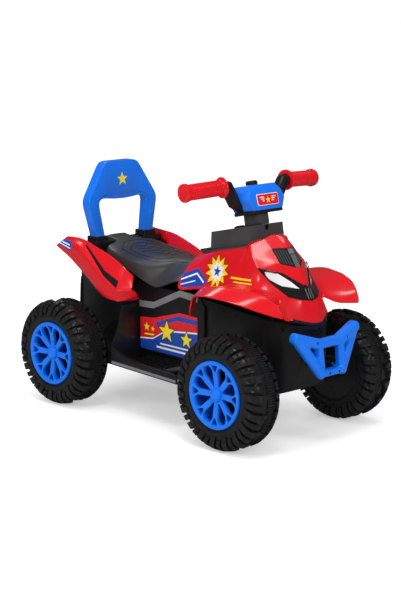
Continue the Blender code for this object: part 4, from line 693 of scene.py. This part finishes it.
cowl_points = table("""
    a0 0 -22 314, a1 0 -100 332.5, a2 0 -172 348.5, a3 0 -205 368.5, a4 0 -230 348, a5 0 -253.6 314.5,
    a6 0 -275.1 281.9, a7 0 -287 257, a8 0 -302 218, b0 38 -23 307.5, b1 50 -98 332, b2 50 -172 348.5,
    b3 28 -193 361, b4 29 -211.2 346, b5 30 -234.9 320.6, b6 32 -243.3 305.3, b7 22 -281 260,
    b8 30 -291 222.5, c0 77.5 -22.5 270, c1 66 -95 296, c2 68 -165 305, c3 51 -177 350, c4 57 -192 333,
    c6 64 -208 315, c9 54.5 -234.1 288.8, c7 42 -266 266, c8 49 -281 226.5, d0 77.5 -23.5 251.5,
    d1 79 -75 260, r2 82 -130 270, r3 83 -165 279, r4 81 -205 280, r5 76 -235 274, r6 66 -257 262,
    r8 58 -272 228, f1 76 -283 242, f2 61 -258 250, k0 118 -98 226, k1 122 -112 262, k2 131 -142 279,
    k3 140 -186 288, k4 131 -222 287, k5 122 -255 284, k6 115 -280 277, k7 106 -300 262, k8 102 -308 241,
    l0 132 -104 226, l1 150 -128 256, l2 168 -156 271, l3 176 -186 276, l4 170 -215 274, l5 155 -246 266,
    l6 136 -275 255, l7 117 -297 246, e1 60.5 -214.4 311.9, e2 45.5 -234.5 309.4, e3 25.5 -257.6 290.5,
    e4 15.5 -269.7 278.1, e5 40.5 -248.8 283.4, e6 53.5 -229.4 295.1, g3 8.5 -203 367.8,
    g4 6.8 -228.5 347.2, g5 6.2 -251.5 313.5, g6 4.2 -273.8 281.6
""")
cowl_zones = {
    "cowl": """
        a0 b0 b1 a1, a1 b1 b2 a2, a2 b2 b3 g3 a3, b2 c3 b3, b0 c0 c1 b1, b1 c1 c2 b2, b2 c2 c3, c3 c2 c6 c4,
        c2 r3 r4 c6, c6 r4 r5 c9, c9 r5 r6 c7, c7 r6 f2, c7 f2 r8 c8, c0 d0 d1 c1, c1 d1 r2 c2, c2 r2 r3,
        d1 k1 k2 r2, r2 k2 k3 r3, r3 k3 k4 r4, r4 k4 k5 r5, r5 k5 k6 r6, r6 k6 k7 f1, f1 k7 k8, r6 f1 f2,
        k0 l0 l1 k1, k1 l1 l2 k2, k2 l2 l3 k3, k3 l3 l4 k4, k4 l4 l5 k5, k5 l5 l6 k6, k6 l6 l7 k7, k7 l7 k8,
        a7 b7 b8 a8, b7 c7 c8 b8, a3 g3 g4 a4, g3 b3 b4 g4, b3 c3 c4 b4, b4 c4 b5, b5 c4 c6, b5 c6 b6,
        a5 g5 g6 a6, g5 b5 b6 g6
    """,
    "vent": "g4 b4 b5 g5",
    "strip": "a4 g4 g5 a5",
    "bezel": """
        c6 e1 e2 b6, b6 e2 e3 g6, g6 e3 e4 a6, a6 e4 b7 a7, b7 e4 e5 c7, c7 e5 e6 c9, c9 e6 e1 c6
    """,
    "lens": "e1 e6 e5 e2, e2 e5 e4 e3",
}
PARTING_GAP = 0.00022


def at(x, y, z):
    """A place of the tables, in mm, in the frame."""
    return Vector((x / 1000, y / 1000 + BACK, z / 1000))


def smooth_skin(name, points, zones, creases, level, sides=(1, -1)):
    """A subdivided skin through the given points, mirrored over the middle, one material index a zone."""
    places, faces, zone_of, hard = {}, [], [], {}

    def label(key, sign):
        return (key, sign if points[key][0] else 0)

    for sign in sides:
        for key, (x, y, z) in points.items():
            places.setdefault(label(key, sign), at(sign * x, y, z))
    names = list(places)
    for sign in sides:
        for zone, group in enumerate(zones.values()):
            for line in group.split(","):
                ring = [names.index(label(key, sign)) for key in line.split()]
                faces.append(ring if sign < 0 else ring[::-1])
                zone_of.append(zone)
        for line, value in creases.items():
            ring = [names.index(label(key, sign)) for key in line.split()]
            for ends in zip(ring, ring[1:]):
                hard[frozenset(ends)] = value
    skin = drawn(name, places.values(), faces)
    mesh = skin.data
    used = {}
    for face in mesh.polygons:
        face.material_index = zone_of[face.index]
        for key in face.edge_keys:
            used.setdefault(frozenset(key), set()).add(face.material_index)
    edge_crease = mesh.attributes.new("crease_edge", "FLOAT", "EDGE")
    corner_crease = mesh.attributes.new("crease_vert", "FLOAT", "POINT")
    for edge in mesh.edges:
        key = frozenset(edge.vertices)
        seam = len(used[key]) > 1
        edge_crease.data[edge.index].value = 1.0 if seam else hard.get(key, 0.0)
        if seam:
            for v in edge.vertices:
                corner_crease.data[v].value = 1.0
    for slot in zones:
        label_name = "zone_" + slot
        mesh.materials.append(bpy.data.materials.get(label_name) or bpy.data.materials.new(label_name))
    finer = skin.modifiers.new("finer", "SUBSURF")
    finer.levels = 1
    finer.use_limit_surface = True
    # the cage is moved until the smooth surface passes through the points
    wanted = np.array([tuple(p) for p in places.values()])
    cage = wanted.copy()
    for _ in range(8):
        mesh.vertices.foreach_set("co", cage.ravel())
        mesh.update()
        bpy.context.view_layer.update()
        shown = skin.evaluated_get(bpy.context.evaluated_depsgraph_get()).to_mesh()
        lying = np.array([tuple(v.co) for v in shown.vertices[: len(places)]])
        cage = cage + 0.9 * (wanted - lying)
    mesh.vertices.foreach_set("co", cage.ravel())
    finer.levels = level
    return apply_all(skin)


def zone_of_skin(skin, zone, name, thickness, sink=0.0, edge=0.0004):
    """One zone of the skin as its own moulding: drawn in by the parting gap, thickened, edges eased."""
    index = skin.data.materials.find("zone_" + zone)
    piece = without(twin(skin, name), lambda face: face.material_index != index)
    mesh = piece.data
    count = Counter(key for face in mesh.polygons for key in face.edge_keys)
    inward = {v: Vector() for key, n in count.items() if n == 1 for v in key}
    for face in mesh.polygons:
        for v in face.vertices:
            if v in inward:
                inward[v] += face.center - mesh.vertices[v].co
    normals = [Vector(v.normal) for v in mesh.vertices]
    for v in mesh.vertices:
        way = inward.get(v.index, Vector())
        v.co = v.co + way.normalized() * PARTING_GAP - normals[v.index] * sink
    changed(piece, "SOLIDIFY", thickness=thickness, offset=-1)
    return smooth(rounded(piece, edge, 2, 60), 28)


def halves(piece, material, name):
    """Splits a mirrored pair into its left and right piece."""
    for side, sign in SIDES:
        half = without(twin(piece, f"{name}_{side}_look"), lambda face: face.center.x * sign < 0)
        fitted(half, material)
    dropped(piece)


def turns(count):
    return [2 * math.pi * k / count for k in range(count)]


def bead(name, target, path, towards, radius, sink):
    """A fine moulded bead that lies on a skin, found by looking from the path along a direction."""
    skin = target.data
    tree = BVHTree.FromPolygons([v.co for v in skin.vertices], [f.vertices for f in skin.polygons])
    towards = Vector(towards).normalized()
    hits = []
    for place in path:
        spot, normal, _, _ = tree.ray_cast(Vector(place) - towards * 0.03, towards)
        if spot:
            hits.append((spot, normal if normal.dot(towards) < 0 else -normal))
    rings = []
    for i, (spot, normal) in enumerate(hits):
        ahead = hits[min(i + 1, len(hits) - 1)][0] - hits[max(i - 1, 0)][0]
        aside = ahead.cross(normal).normalized()
        reach = radius * (0.3 if i in (0, len(hits) - 1) else 1.0)
        for turn in turns(8):
            rings.append(spot - normal * sink + (aside * math.cos(turn) + normal * math.sin(turn)) * reach)
    return smooth(tube(name, rings, 8), 60)


def along(points, steps):
    """Points along straight runs, close enough for a bead to follow the skin."""
    line = [Vector(p) for p in points]
    return [a.lerp(b, k / steps) for a, b in zip(line, line[1:]) for k in range(steps)] + [line[-1]]


def cowl_place(key, other, share, sign=1):
    """A place between two of the cowl's points."""
    spot = Vector(cowl_points[key]).lerp(Vector(cowl_points[other]), share)
    return at(sign * spot.x, spot.y, spot.z)


cowl_creases = {
    "k0 k1 k2 k3 k4 k5 k6 k7 k8": 0.8,
    "g3 g4": 0.62, "g5 g6": 0.62,
    "c2 c3": 0.55, "c2 c6": 0.55, "b3 c3": 0.55, "b2 b3": 0.55, "b2 c3": 0.3, "b3 b4": 0.55, "b3 g3": 0.55,
    "c1 c2": 0.35, "c0 c1": 0.35, "c3 c4": 0.65, "c4 c6": 0.55,
    "d1 r2 r3 r4 r5 r6": 0.35, "c7 c8": 0.22, "c7 f2": 0.5, "f2 r8": 0.3, "r6 f2": 0.3, "f1 r6": 0.2,
}
cowl_skin = smooth_skin("cowl_skin", cowl_points, cowl_zones, cowl_creases, 4)
shell_red = moulding("gloss_red_moulding", "red_shell", (0.72, 0.0035, 0.011), 0.2, coat=0.2, scuff=0.08,
                     cloud=0.05)
gloss_black = moulding("gloss_black_moulding", "black_plastic", (0.008, 0.008, 0.009), 0.25, coat=0.2,
                       scuff=0.08)
lens_white = moulding("gloss_white_lens", "lens_white", (0.88, 0.89, 0.9), 0.12, coat=0.5, scuff=0.05,
                      cloud=0.04, worn=(0.9, 0.9, 0.9))
fitted(zone_of_skin(cowl_skin, "cowl", "front_cowl_look", 0.0026, edge=0.0006), shell_red)
bezel = fitted(zone_of_skin(cowl_skin, "bezel", "headlight_bezel_look", 0.0026, sink=0.0002), gloss_black)
halves(zone_of_skin(cowl_skin, "lens", "lenses", 0.0024, sink=0.0004), lens_white, "headlight_lens")
halves(zone_of_skin(cowl_skin, "vent", "vents", 0.0022, sink=0.0012), gloss_black, "hood_vent")
strip = fitted(zone_of_skin(cowl_skin, "strip", "grille_strip_look", 0.0024, sink=0.0004), dark_grey)

nose_ray = (0, 0.78, -0.62)
bars = []
for k in range(9):
    share = 0.4 + 0.57 * k / 8
    ends = [cowl_place("g4", "g5", share, sign) for sign in (-0.86, 0.86)]
    bars.append(bead("strip_bar", strip, along(ends, 6), nose_ray, 0.0007, 0.0001))
for name, low, high, steps, shifts, radius, sink in (
    ("strip_rail", 0.38, 0.98, 14, (-0.0046, -0.0016, 0.0016, 0.0046), 0.00055, 0.0001),
    ("strip_top", 0.05, 0.34, 8, (-0.0042, 0, 0.0042), 0.0024, 0.0013),
):
    ridge = along([cowl_place("a4", "a5", low), cowl_place("a4", "a5", high)], steps)
    for x in shifts:
        bars.append(bead(name, strip, [p + Vector((x, 0, 0)) for p in ridge], nose_ray, radius, sink))
fitted(joined("grille_lattice", bars), grey_and_ledge_highlight)
# the louvre ribs are of the vent's black plastic, coloured dark grey: painted sheen along the louvres
for side, sign in SIDES:
    panel = bpy.data.objects[f"hood_vent_{side}_look"]
    ribs = []
    for k in range(5):
        share = 0.14 + 0.17 * k
        top, low = cowl_place("g4", "b4", share, sign), cowl_place("g5", "b5", share, sign)
        path = along([top.lerp(low, 0.08), top.lerp(low, 0.92)], 12)
        ribs.append(bead("vent_rib", panel, path, (-0.25 * sign, 0.78, -0.62), 0.0014, 0.0005))
    fitted(joined("vent_ribs_" + side, ribs), dark_grey, slot="black_plastic")
bars = []
for x in (-6.2, 0, 6.2):
    path = along([at(x, -274.5, 280), at(x, -285.5, 260.5)], 8)
    bars.append(bead("nose_bar", bezel, path, nose_ray, 0.001, 0.0004))
fitted(joined("nose_bars", bars), grey_and_ledge_highlight)
steps = []
for side, sign in SIDES:
    path = along([at(sign * 44, -256, 274.5), at(sign * 24, -274, 265.5), at(sign * 9.5, -281.5, 265.5)], 8)
    steps.append(bead("bezel_step", bezel, path, nose_ray, 0.0011, 0.0003))
fitted(joined("bezel_steps", steps), gloss_black)
lip_path = [(-47, -277, 225.5), (-30, -286, 221), (0, -296.5, 216.5), (30, -286, 221), (47, -277, 225.5)]
rings = [spot + Vector((0, 0.0062 * math.cos(turn), 0.005 * math.sin(turn)))
         for spot in through([at(*p) for p in lip_path], 6) for turn in turns(12)]
fitted(smooth(tube("nose_lip", rings, 12), 60), gloss_black)


def stickers(name, skin, lift, test, outlines, material):
    """Cuts outlines (y, z) from a thin shell over part of the left skin, and mirrors them to the right."""
    stock = without(twin(skin, "sticker_stock"), lambda face: not test(face))
    for vertex, normal in zip(stock.data.vertices, [Vector(v.normal) for v in stock.data.vertices]):
        vertex.co += normal * (lift + 0.0002)
    changed(stock, "SOLIDIFY", thickness=0.0002, offset=-1)
    pieces = []
    for outline in outlines:
        cutter = cut_sheet("sticker_cutter", outline, 0, 300, on_side(0, 1))
        pieces.append(boolean(twin(stock, name), cutter, "INTERSECT"))
    dropped(stock)
    left = joined(name + "_left", pieces)
    right = carried(twin(left, name + "_right"), mirror=True)
    for piece in (left, right):
        fitted(smooth(piece, 30), material)


def on_flank(face):
    x, y, z = face.center
    return 0.055 < x < 0.086 and face.normal.x > 0.25 and y - BACK > -0.235 and z > 0.245


BURST = (-112, 296)
for name, lift, material, outlines in (
    ("flank_blue", 0, print_blue, [[(-26, 256), (-26, 282), (-62, 296), (-90, 276), (-80, 265)]]),
    ("flank_white", 0.0003, print_white, [
        [(-26, 270), (-26, 273), (-62, 288), (-83, 273), (-80, 270.5), (-62, 284.5)],
        [(-26, 261), (-26, 263), (-60, 274), (-60, 271.5)]]),
    ("burst_black", 0, print_black, [star(*BURST, 33, 11, 0.62, 0.1)]),
    ("burst_yellow", 0.0003, sun_yellow, [star(*BURST, 30.5, 11, 0.62, 0.1)]),
    ("burst_white", 0.0006, print_white, [star(*BURST, 19.5, 9, 0.66, 0.3)]),
    ("burst_blue", 0.0009, print_blue, [star(*BURST, 10.5)]),
    ("flank_yellow", 0, sun_yellow, [
        [(-152, 289), (-152, 292.5), (-202, 293.5), (-202, 290)],
        [(-162, 283.5), (-162, 285.5), (-206, 286.5), (-206, 284.5)]]),
):
    stickers(name, cowl_skin, lift, on_flank, outlines, material)
dropped(cowl_skin)

# Rear fenders: gloss red skins, one each side, screwed to the deck, with a black stripe laid in the
# flank. The left one's rows of points run back along inner edge, ridge, middle, lower edge and underside.
fender_points = table("""
    I0 96.5 86.5 261.5, I1 90 105 262, I2 90 139 272, I3 90 176 284, I4 97.5 205.5 300, I5 97.5 236 306,
    I6 104 266.5 317,
    R0 98 84 265, R1 108 104 284, R2 108 139 300, R3 109 181 313, R4 104 208 318.5, R5 100 238 322.5,
    R6 108 268.5 323.6,
    M0 113 73 242, M1 133 97 240, M2 133 137 258, M3 130 178 284, M4 124 212 303, M5 118 250 312,
    M6 112 286 311,
    L0 102 71 228.5, L1 128 96 218, L2 131 136 224, L3 126 176 244.3, L4 119 229 271.5, L5 114 262 286,
    L6 112 299.5 301.5,
    U0 72.2 73 228.5, U1 72.2 96 216, U2 72.2 136 220, U3 72.2 176 238, U4 72.2 229 264, U5 86 262 284,
    U6 104 296 299.5
""")
stripe_shares = [(0.62, 0.86), (0.62, 0.92), (0.66, 0.86), (0.44, 0.6), (0.27, 0.39), (0.3, 0.38), (0.4, 0.5)]
for i, (upper, lower) in enumerate(stripe_shares):
    top, low = Vector(fender_points["R%d" % i]), Vector(fender_points["M%d" % i])
    fender_points["S%d" % i] = tuple(top.lerp(low, upper))
    fender_points["T%d" % i] = tuple(top.lerp(low, lower))
fender_zones = {"fender": [], "stripe": []}
for i in range(6):
    for upper, lower in zip("IRSTML" if i else "IRSTM", "RSTMLU"):
        zone = "stripe" if upper == "S" and 1 <= i <= 3 else "fender"
        fender_zones[zone].append("%s%d %s%d %s%d %s%d" % (upper, i, upper, i + 1, lower, i + 1, lower, i))
fender_zones = {zone: ",".join(group) for zone, group in fender_zones.items()}
fender_creases = {
    "R0 R1 R2 R3 R4 R5 R6": 0.62, "L0 L1 L2 L3 L4 L5 L6": 0.75, "M0 M1 M2 M3 M4 M5 M6": 0.3,
}


def on_tail(face):
    return face.center.y - BACK > 0.22 and face.normal.x > 0.25


for side, sign in SIDES:
    skin = smooth_skin("fender_skin", fender_points, fender_zones, fender_creases, 3, sides=(sign,))
    fitted(zone_of_skin(skin, "fender", f"rear_fender_{side}_look", 0.0024, edge=0.0006), shell_red)
    fitted(zone_of_skin(skin, "stripe", f"fender_stripe_{side}_look", 0.0022, sink=0.0004), gloss_black)
    if side == "left":
        stickers("tail_blue", skin, 0, on_tail, [
            [(242, 296), (244, 316), (286, 317), (294, 306)]], print_blue)
        stickers("tail_white", skin, 0.0003, on_tail, [
            [(247, 301), (247.5, 304), (288, 310.5), (289, 308)],
            [(248, 307.5), (248.5, 310.5), (280, 314), (281, 311.8)]], print_white)
    dropped(skin)

# Seat: one thick dark moulding, its dark grey partly painted sheen, with shallow grooves, screwed to the tub
# between the fenders.
# Its points run back to front: s on the middle, g along the edge of the top, h along the lower edge.
seat_points = table("""
    s0 0 246 320, s1 0 208 314, s2 0 170 306, s3 0 134 299.5, s4 0 91 297, s5 0 60 296.5, s6 0 2 298,
    s7 0 -32 296, g0 26 246 318, g1 30 208.5 312.5, g9 60 200 307, g2 68 170 300, g3 71.5 125 292,
    g4 73 91 284, g5 59 60 280, g6 30 30 289, g7 36 -12 289, g8 36 -32 286, h0 30 246 301.2,
    h1 34 207 301.2, h9 68 200 288, h2 76.5 170 280, h3 79.5 125 272, h4 80 91 260, h5 80 60 250.5,
    h6 80 30 251, h7 78.5 -14 267, h8 62 -32 263
""")
seat_zones = {
    "seat": """
        s1 s0 g0 g1, s2 s1 g1 g9 g2, s3 s2 g2 g3, s4 s3 g3 g4, s5 s4 g4 g5, s6 s5 g5 g6, s7 s6 g7 g8,
        s6 g6 g7, g1 g0 h0 h1, g9 g1 h1 h9, g2 g9 h9 h2, g3 g2 h2 h3, g4 g3 h3 h4, g5 g4 h4 h5, g6 g5 h5 h6,
        g7 g6 h6 h7, g8 g7 h7 h8
    """,
}
seat_creases = {"g0 g1 g9 g2 g3 g4 g5 g6 g7 g8": 0.42}
seat_skin = smooth_skin("seat_skin", seat_points, seat_zones, seat_creases, 4)
# near-black plastic whose colour is lifted to dark grey: partly painted sheen of its lit top
seat_black = moulding("seat_black_moulding", "dark_grey_plastic", (0.038, 0.038, 0.04), 0.34, grain=0.25,
                      pores=1300)
fitted(zone_of_skin(seat_skin, "seat", "seat_look", 0.0028, edge=0.0008), seat_black)
down = (0, 0, -1)
# the grooves are fine beads of the seat's own plastic coloured gloss black: painted shade in the grooves
lines = []
for loop in (
    [(20, 196), (50, 172), (56, 125), (50, 80), (26, 40), (26, 6)],
    [(12, 180), (38, 160), (43, 122), (37, 84), (14, 56)],
):
    path = [at(-x, y, 330) for x, y in reversed(loop)] + [at(x, y, 330) for x, y in loop]
    lines.append(bead("seat_line", seat_skin, along(path, 10), down, 0.0012, 0.0004))
for k in range(6):
    y = 75 + 17 * k
    reach = 30 - 12 * abs(k - 2.5) / 2.5
    path = [at(-reach, y + 12, 330), at(0, y, 330), at(reach, y + 12, 330)]
    lines.append(bead("seat_chevron", seat_skin, along(path, 12), down, 0.001, 0.0003))
fitted(joined("seat_lines", lines), gloss_black, slot="dark_grey_plastic")
dropped(seat_skin)

# Backrest: blue blow-moulded loop with a raised outer border, pushed into two black sockets on the deck.
# It leans back a little, and a plain star is printed on its top.


def filleted(corners, steps=8):
    """A line of straight runs whose corners (x, z, radius) are rounded."""
    out = []
    for i, (x, z, radius) in enumerate(corners):
        here = Vector((x, z))
        if radius == 0:
            out.append(here)
            continue
        before = Vector(corners[i - 1][:2]) - here
        after = Vector(corners[i + 1][:2]) - here
        reach = min(radius / math.tan(before.angle(after) / 2), before.length * 0.48, after.length * 0.48)
        a, b = here + before.normalized() * reach, here + after.normalized() * reach
        for t in (k / steps for k in range(steps + 1)):
            out.append(a * (1 - t) ** 2 + here * 2 * t * (1 - t) + b * t * t)
    return out


def evenly(line, count):
    """The line again, with count points at equal distances."""
    far = np.cumsum([0.0] + [(b - a).length for a, b in zip(line, line[1:])])
    goals = np.linspace(0.0, far[-1], count)
    ways = [np.interp(goals, far, [spot[axis] for spot in line]) for axis in (0, 1)]
    return [Vector(p) for p in zip(*ways)]


def on_backrest(x, z, depth):
    return Vector((x, 0.228 + BACK + (z - 0.3245) * 0.07 - depth, z))


outer_line, inner_line = (evenly(filleted(half), 44) for half in (
    [(0.0755, 0.306, 0), (0.0755, 0.327, 0.06), (0.0915, 0.3935, 0.03), (0.042, 0.4695, 0.022),
     (0, 0.4695, 0)],
    [(0.0525, 0.306, 0), (0.0525, 0.326, 0.06), (0.065, 0.399, 0.017), (0.022, 0.3945, 0.03),
     (0, 0.3935, 0)]))
half_rings = []
for o, i in zip(outer_line, inner_line):
    # the step runs down the middle of the legs and close to the opening at the top
    step = 0.32 * min(1.0, max(0.0, (o.y - 0.385) / 0.05))
    front = [(o.lerp(i, share), depth) for share, depth in (
        (0, 0.011), (0.52 + step, 0.011), (0.56 + step, 0.009), (1, 0.009))]
    half_rings.append(front + [(spot, -depth) for spot, depth in reversed(front)])
rings = [on_backrest(p.x, p.y, depth) for ring in half_rings for p, depth in ring]
rings += [on_backrest(-p.x, p.y, depth) for ring in reversed(half_rings[:-1]) for p, depth in ring]
backrest = rounded(tube("backrest_look", rings, 8), 0.004, 5, 50)
fitted(smooth(backrest, 40), bright_blue)
fitted(cut_sheet("backrest_star", star(0, 433, 14), 11, 11.3, on_backrest), sun_yellow)
for side, sign in SIDES:
    dressed("backrest_socket_" + side, black_shell, 0.0012)

# Dash pod: dark grey moulding under the handlebar with a flange that clips on the hood, and the
# black rocker of the direction switch in its top. It leans back with the steering column.
column = Matrix.Translation((0, -0.147 + BACK, 0.387)) @ Matrix.Rotation(-math.radians(12), 4, "X")


def on_column(x, v, n):
    return column @ Vector((x, v, n))


def mirrored(half):
    return half + [(-x, v) for x, v in reversed(half)]


dressed("dash_pod", dark_grey, 0.0026, 4, slot="black_plastic")
lip_line = mirrored([(49, -20), (52, 60), (46, 98), (17, 140)])
lip = rounded(cut_sheet("pod_lip", lip_line, -45.5, -37.6, on_column), 0.0014)
fitted(smooth(lip), dark_grey, slot="black_plastic")
dressed("direction_switch", black_shell, 0.001, body="direction_switch")

# Steering head: steel column, dark collar, matte black handlebar with red grips, blue cover with a
# printed plaque, and the horn button. All but the collar turn with the handlebar.
kept(drawn_steel, "steering_column")
dressed("steering_collar", dark_grey, 0.001)
dressed("handlebar", black_shell, 0.001, 3, 40, body="handlebar")
cover_corners = [
    (37, -35.8, 17.6), (39.5, -12, 17.6), (35, 19.5, 17.6),
    (47.5, -34.3, 37.5), (53.5, -8, 40), (44.5, 21.5, 40),
    (41.8, -33.5, 51.2), (53, -4, 56.5), (46, 22, 56),
    (34.5, -25.5, 65.5), (40, -5, 65.7), (36, 17, 65.7),
]
cover = drawn("handlebar_cover_look", [
    on_column(sign * x / 1000, v / 1000, n / 1000) for sign in (1, -1) for x, v, n in cover_corners])
opened(cover)
bpy.ops.mesh.convex_hull()
bpy.ops.mesh.dissolve_limited(angle_limit=math.radians(4))
mode("OBJECT")
rounded(cover, 0.0022, 4, 12)
fitted(smooth(cover, 30), bright_blue, "handlebar")
base_line = mirrored([(37.5, -34.5), (44, -12), (39.5, 17)])
base = rounded(cut_sheet("handlebar_base", base_line, 12.2, 18.8, on_column), 0.0016)
fitted(smooth(base), black_shell, "handlebar")


def on_plaque(x, n, lift):
    """A place on the cover's sloping front, lifted off the plaque's own face."""
    return on_column(x, -0.0361 + 0.0745 * (n - 0.0158) - 0.0003 - lift, n)


def round_box(wide, low, high, radius):
    half = filleted([(0, low, 0), (wide, low, radius), (wide, high, radius), (0, high, 0)], 6)
    return [(p.x, p.y) for p in half] + [(-p.x, p.y) for p in reversed(half[1:-1])]


plaque = rounded(cut_sheet("front_plaque_look", round_box(28, 25.5, 47, 3.5), 0, 1, on_plaque), 0.0003, 2)
fitted(smooth(plaque), lens_white, "handlebar")
field = cut_sheet("plaque_field", round_box(26.8, 26.7, 45.8, 2.8), 1, 1.3, on_plaque)
fitted(field, shell_red, "handlebar")
fitted(cut_sheet("plaque_star", star(0, 35.2, 6.6), 1.3, 1.6, on_plaque), sun_yellow, "handlebar")
bars = []
for side, sign in SIDES:
    for low, wide in ((40, 21), (36.5, 18), (33, 15)):
        bar = [(sign * 9.5, low), (sign * wide, low), (sign * wide, low + 1.6), (sign * 9.5, low + 1.6)]
        bars.append(cut_sheet("plaque_bar", bar, 1.3, 1.6, on_plaque))
fitted(joined("plaque_bars", bars), lens_white, "handlebar")
dressed("horn_button", gloss_black, 0.0008, body="horn_button")

grip_ends = Vector((0.083, -0.0083, 0.0678)), Vector((0.173, 0.0043, 0.0663))
grip_length = (grip_ends[1] - grip_ends[0]).length
grip_line = [
    (0, grip_length - 0.0035), (0.01, grip_length - 0.0035), (0.01, 0.0003), (0.0186, 0.0003),
    (0.0194, 0.0012), (0.0195, 0.0026), (0.0188, 0.004), (0.016, 0.005),
]
GRIP_RINGS = 15
step = (grip_length - 0.023) / GRIP_RINGS
for k in range(GRIP_RINGS):
    here = 0.008 + k * step
    ring = (0.0136, 0), (0.0136, 0.22), (0.0147, 0.4), (0.0147, 0.82)
    grip_line += [(r, here + step * share) for r, share in ring]
grip_line += [(r, grip_length - back) for r, back in (
    (0.014, 0.014), (0.015, 0.011), (0.0168, 0.0092), (0.0172, 0.006), (0.0166, 0.0022), (0.014, 0.0003),
    (0.012, 0.0002), (0.0108, 0.0012), (0, 0.0012))]
for side, sign in SIDES:
    grip = spun(f"grip_{side}_look", grip_line, 48, closed=False)
    start, end = (Vector((sign * x, y, z)) for x, y, z in grip_ends)
    turn = (end - start).to_track_quat("X", "Z").to_matrix().to_4x4()
    carried(grip, column @ Matrix.Translation(start) @ turn)
    fitted(smooth(grip, 40), shell_red, "handlebar")

# Front guard: one bright blue blow-moulded frame, two thick arms, braces, uprights and two crossbars
# that run into each other, with stays to the tub and holes for its screws.


def guard_bar(start, end, wide, deep, up="Y"):
    """A bar with a soft rectangular section between two joints, deep along the vehicle."""
    start, end = Vector(start), Vector(end)
    bar = cuboid("guard_bar", ((end - start).length + wide * 0.8, deep, wide))
    bpy.ops.mesh.bevel(offset=min(wide, deep) * 0.36, segments=4)
    mode("OBJECT")
    turn = (end - start).to_track_quat("X", up).to_matrix().to_4x4()
    return carried(bar, turn, (start + end) / 2)


bars = []
for side, sign in SIDES:
    tip, top, low = at(sign * 77, -316.5, 203), at(sign * 28.5, -326, 188), at(sign * 27, -332, 134.5)
    bars += [guard_bar(top, tip, 0.0235, 0.02), guard_bar(low, tip, 0.0205, 0.0195)]
    bars.append(guard_bar(top, low, 0.015, 0.017))
    stay = guard_bar(at(sign * 27, -330, 149), at(sign * 27, -302, 149), 0.011, 0.011, "Z")
    stay.name = "guard_stay_%d" % (sign > 0)
    fitted(smooth(stay, 50), black_shell)
for spot, wide, deep in ((top, 0.019, 0.018), (low, 0.02, 0.012)):
    bars.append(guard_bar(spot, (-spot.x, spot.y, spot.z), wide, deep))
guard = joined("bumper_guard_look", bars)
changed(guard, "REMESH", mode="VOXEL", voxel_size=0.0013)
changed(guard, "SMOOTH", factor=0.5, iterations=5)
for x, z in ((40, 192), (12.5, 134.5)):
    for side, sign in SIDES:
        hole = [(sign * x + 2.4 * math.cos(turn), z + 2.4 * math.sin(turn)) for turn in turns(16)]
        boolean(guard, cut_sheet("guard_hole", hole, -350, -326, lambda a, b, d: Vector((a, d + BACK, b))))
fitted(smooth(guard, 50), bright_blue)

# Rear wall of the tub: a frame and cross ribs moulded on it, which stiffen the wall.
# They are black like the tub and one piece with it.
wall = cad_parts["chassis"]
ribs = []
corners = [(-0.07, 0.36, 0.115), (0.07, 0.36, 0.115), (0.07, 0.36, 0.235), (-0.07, 0.36, 0.235)]
rungs = [[(-0.056, 0.36, z), (0.056, 0.36, z)] for z in (0.135, 0.155, 0.175, 0.195, 0.215)]
for line in rungs + [corners + corners[:1]]:
    ribs.append(bead("rear_rib", wall, along(line, 8), (0, -1, 0), 0.0034, 0.0012))
fitted(joined("rear_wall_ribs", ribs), black_shell)

low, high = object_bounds()
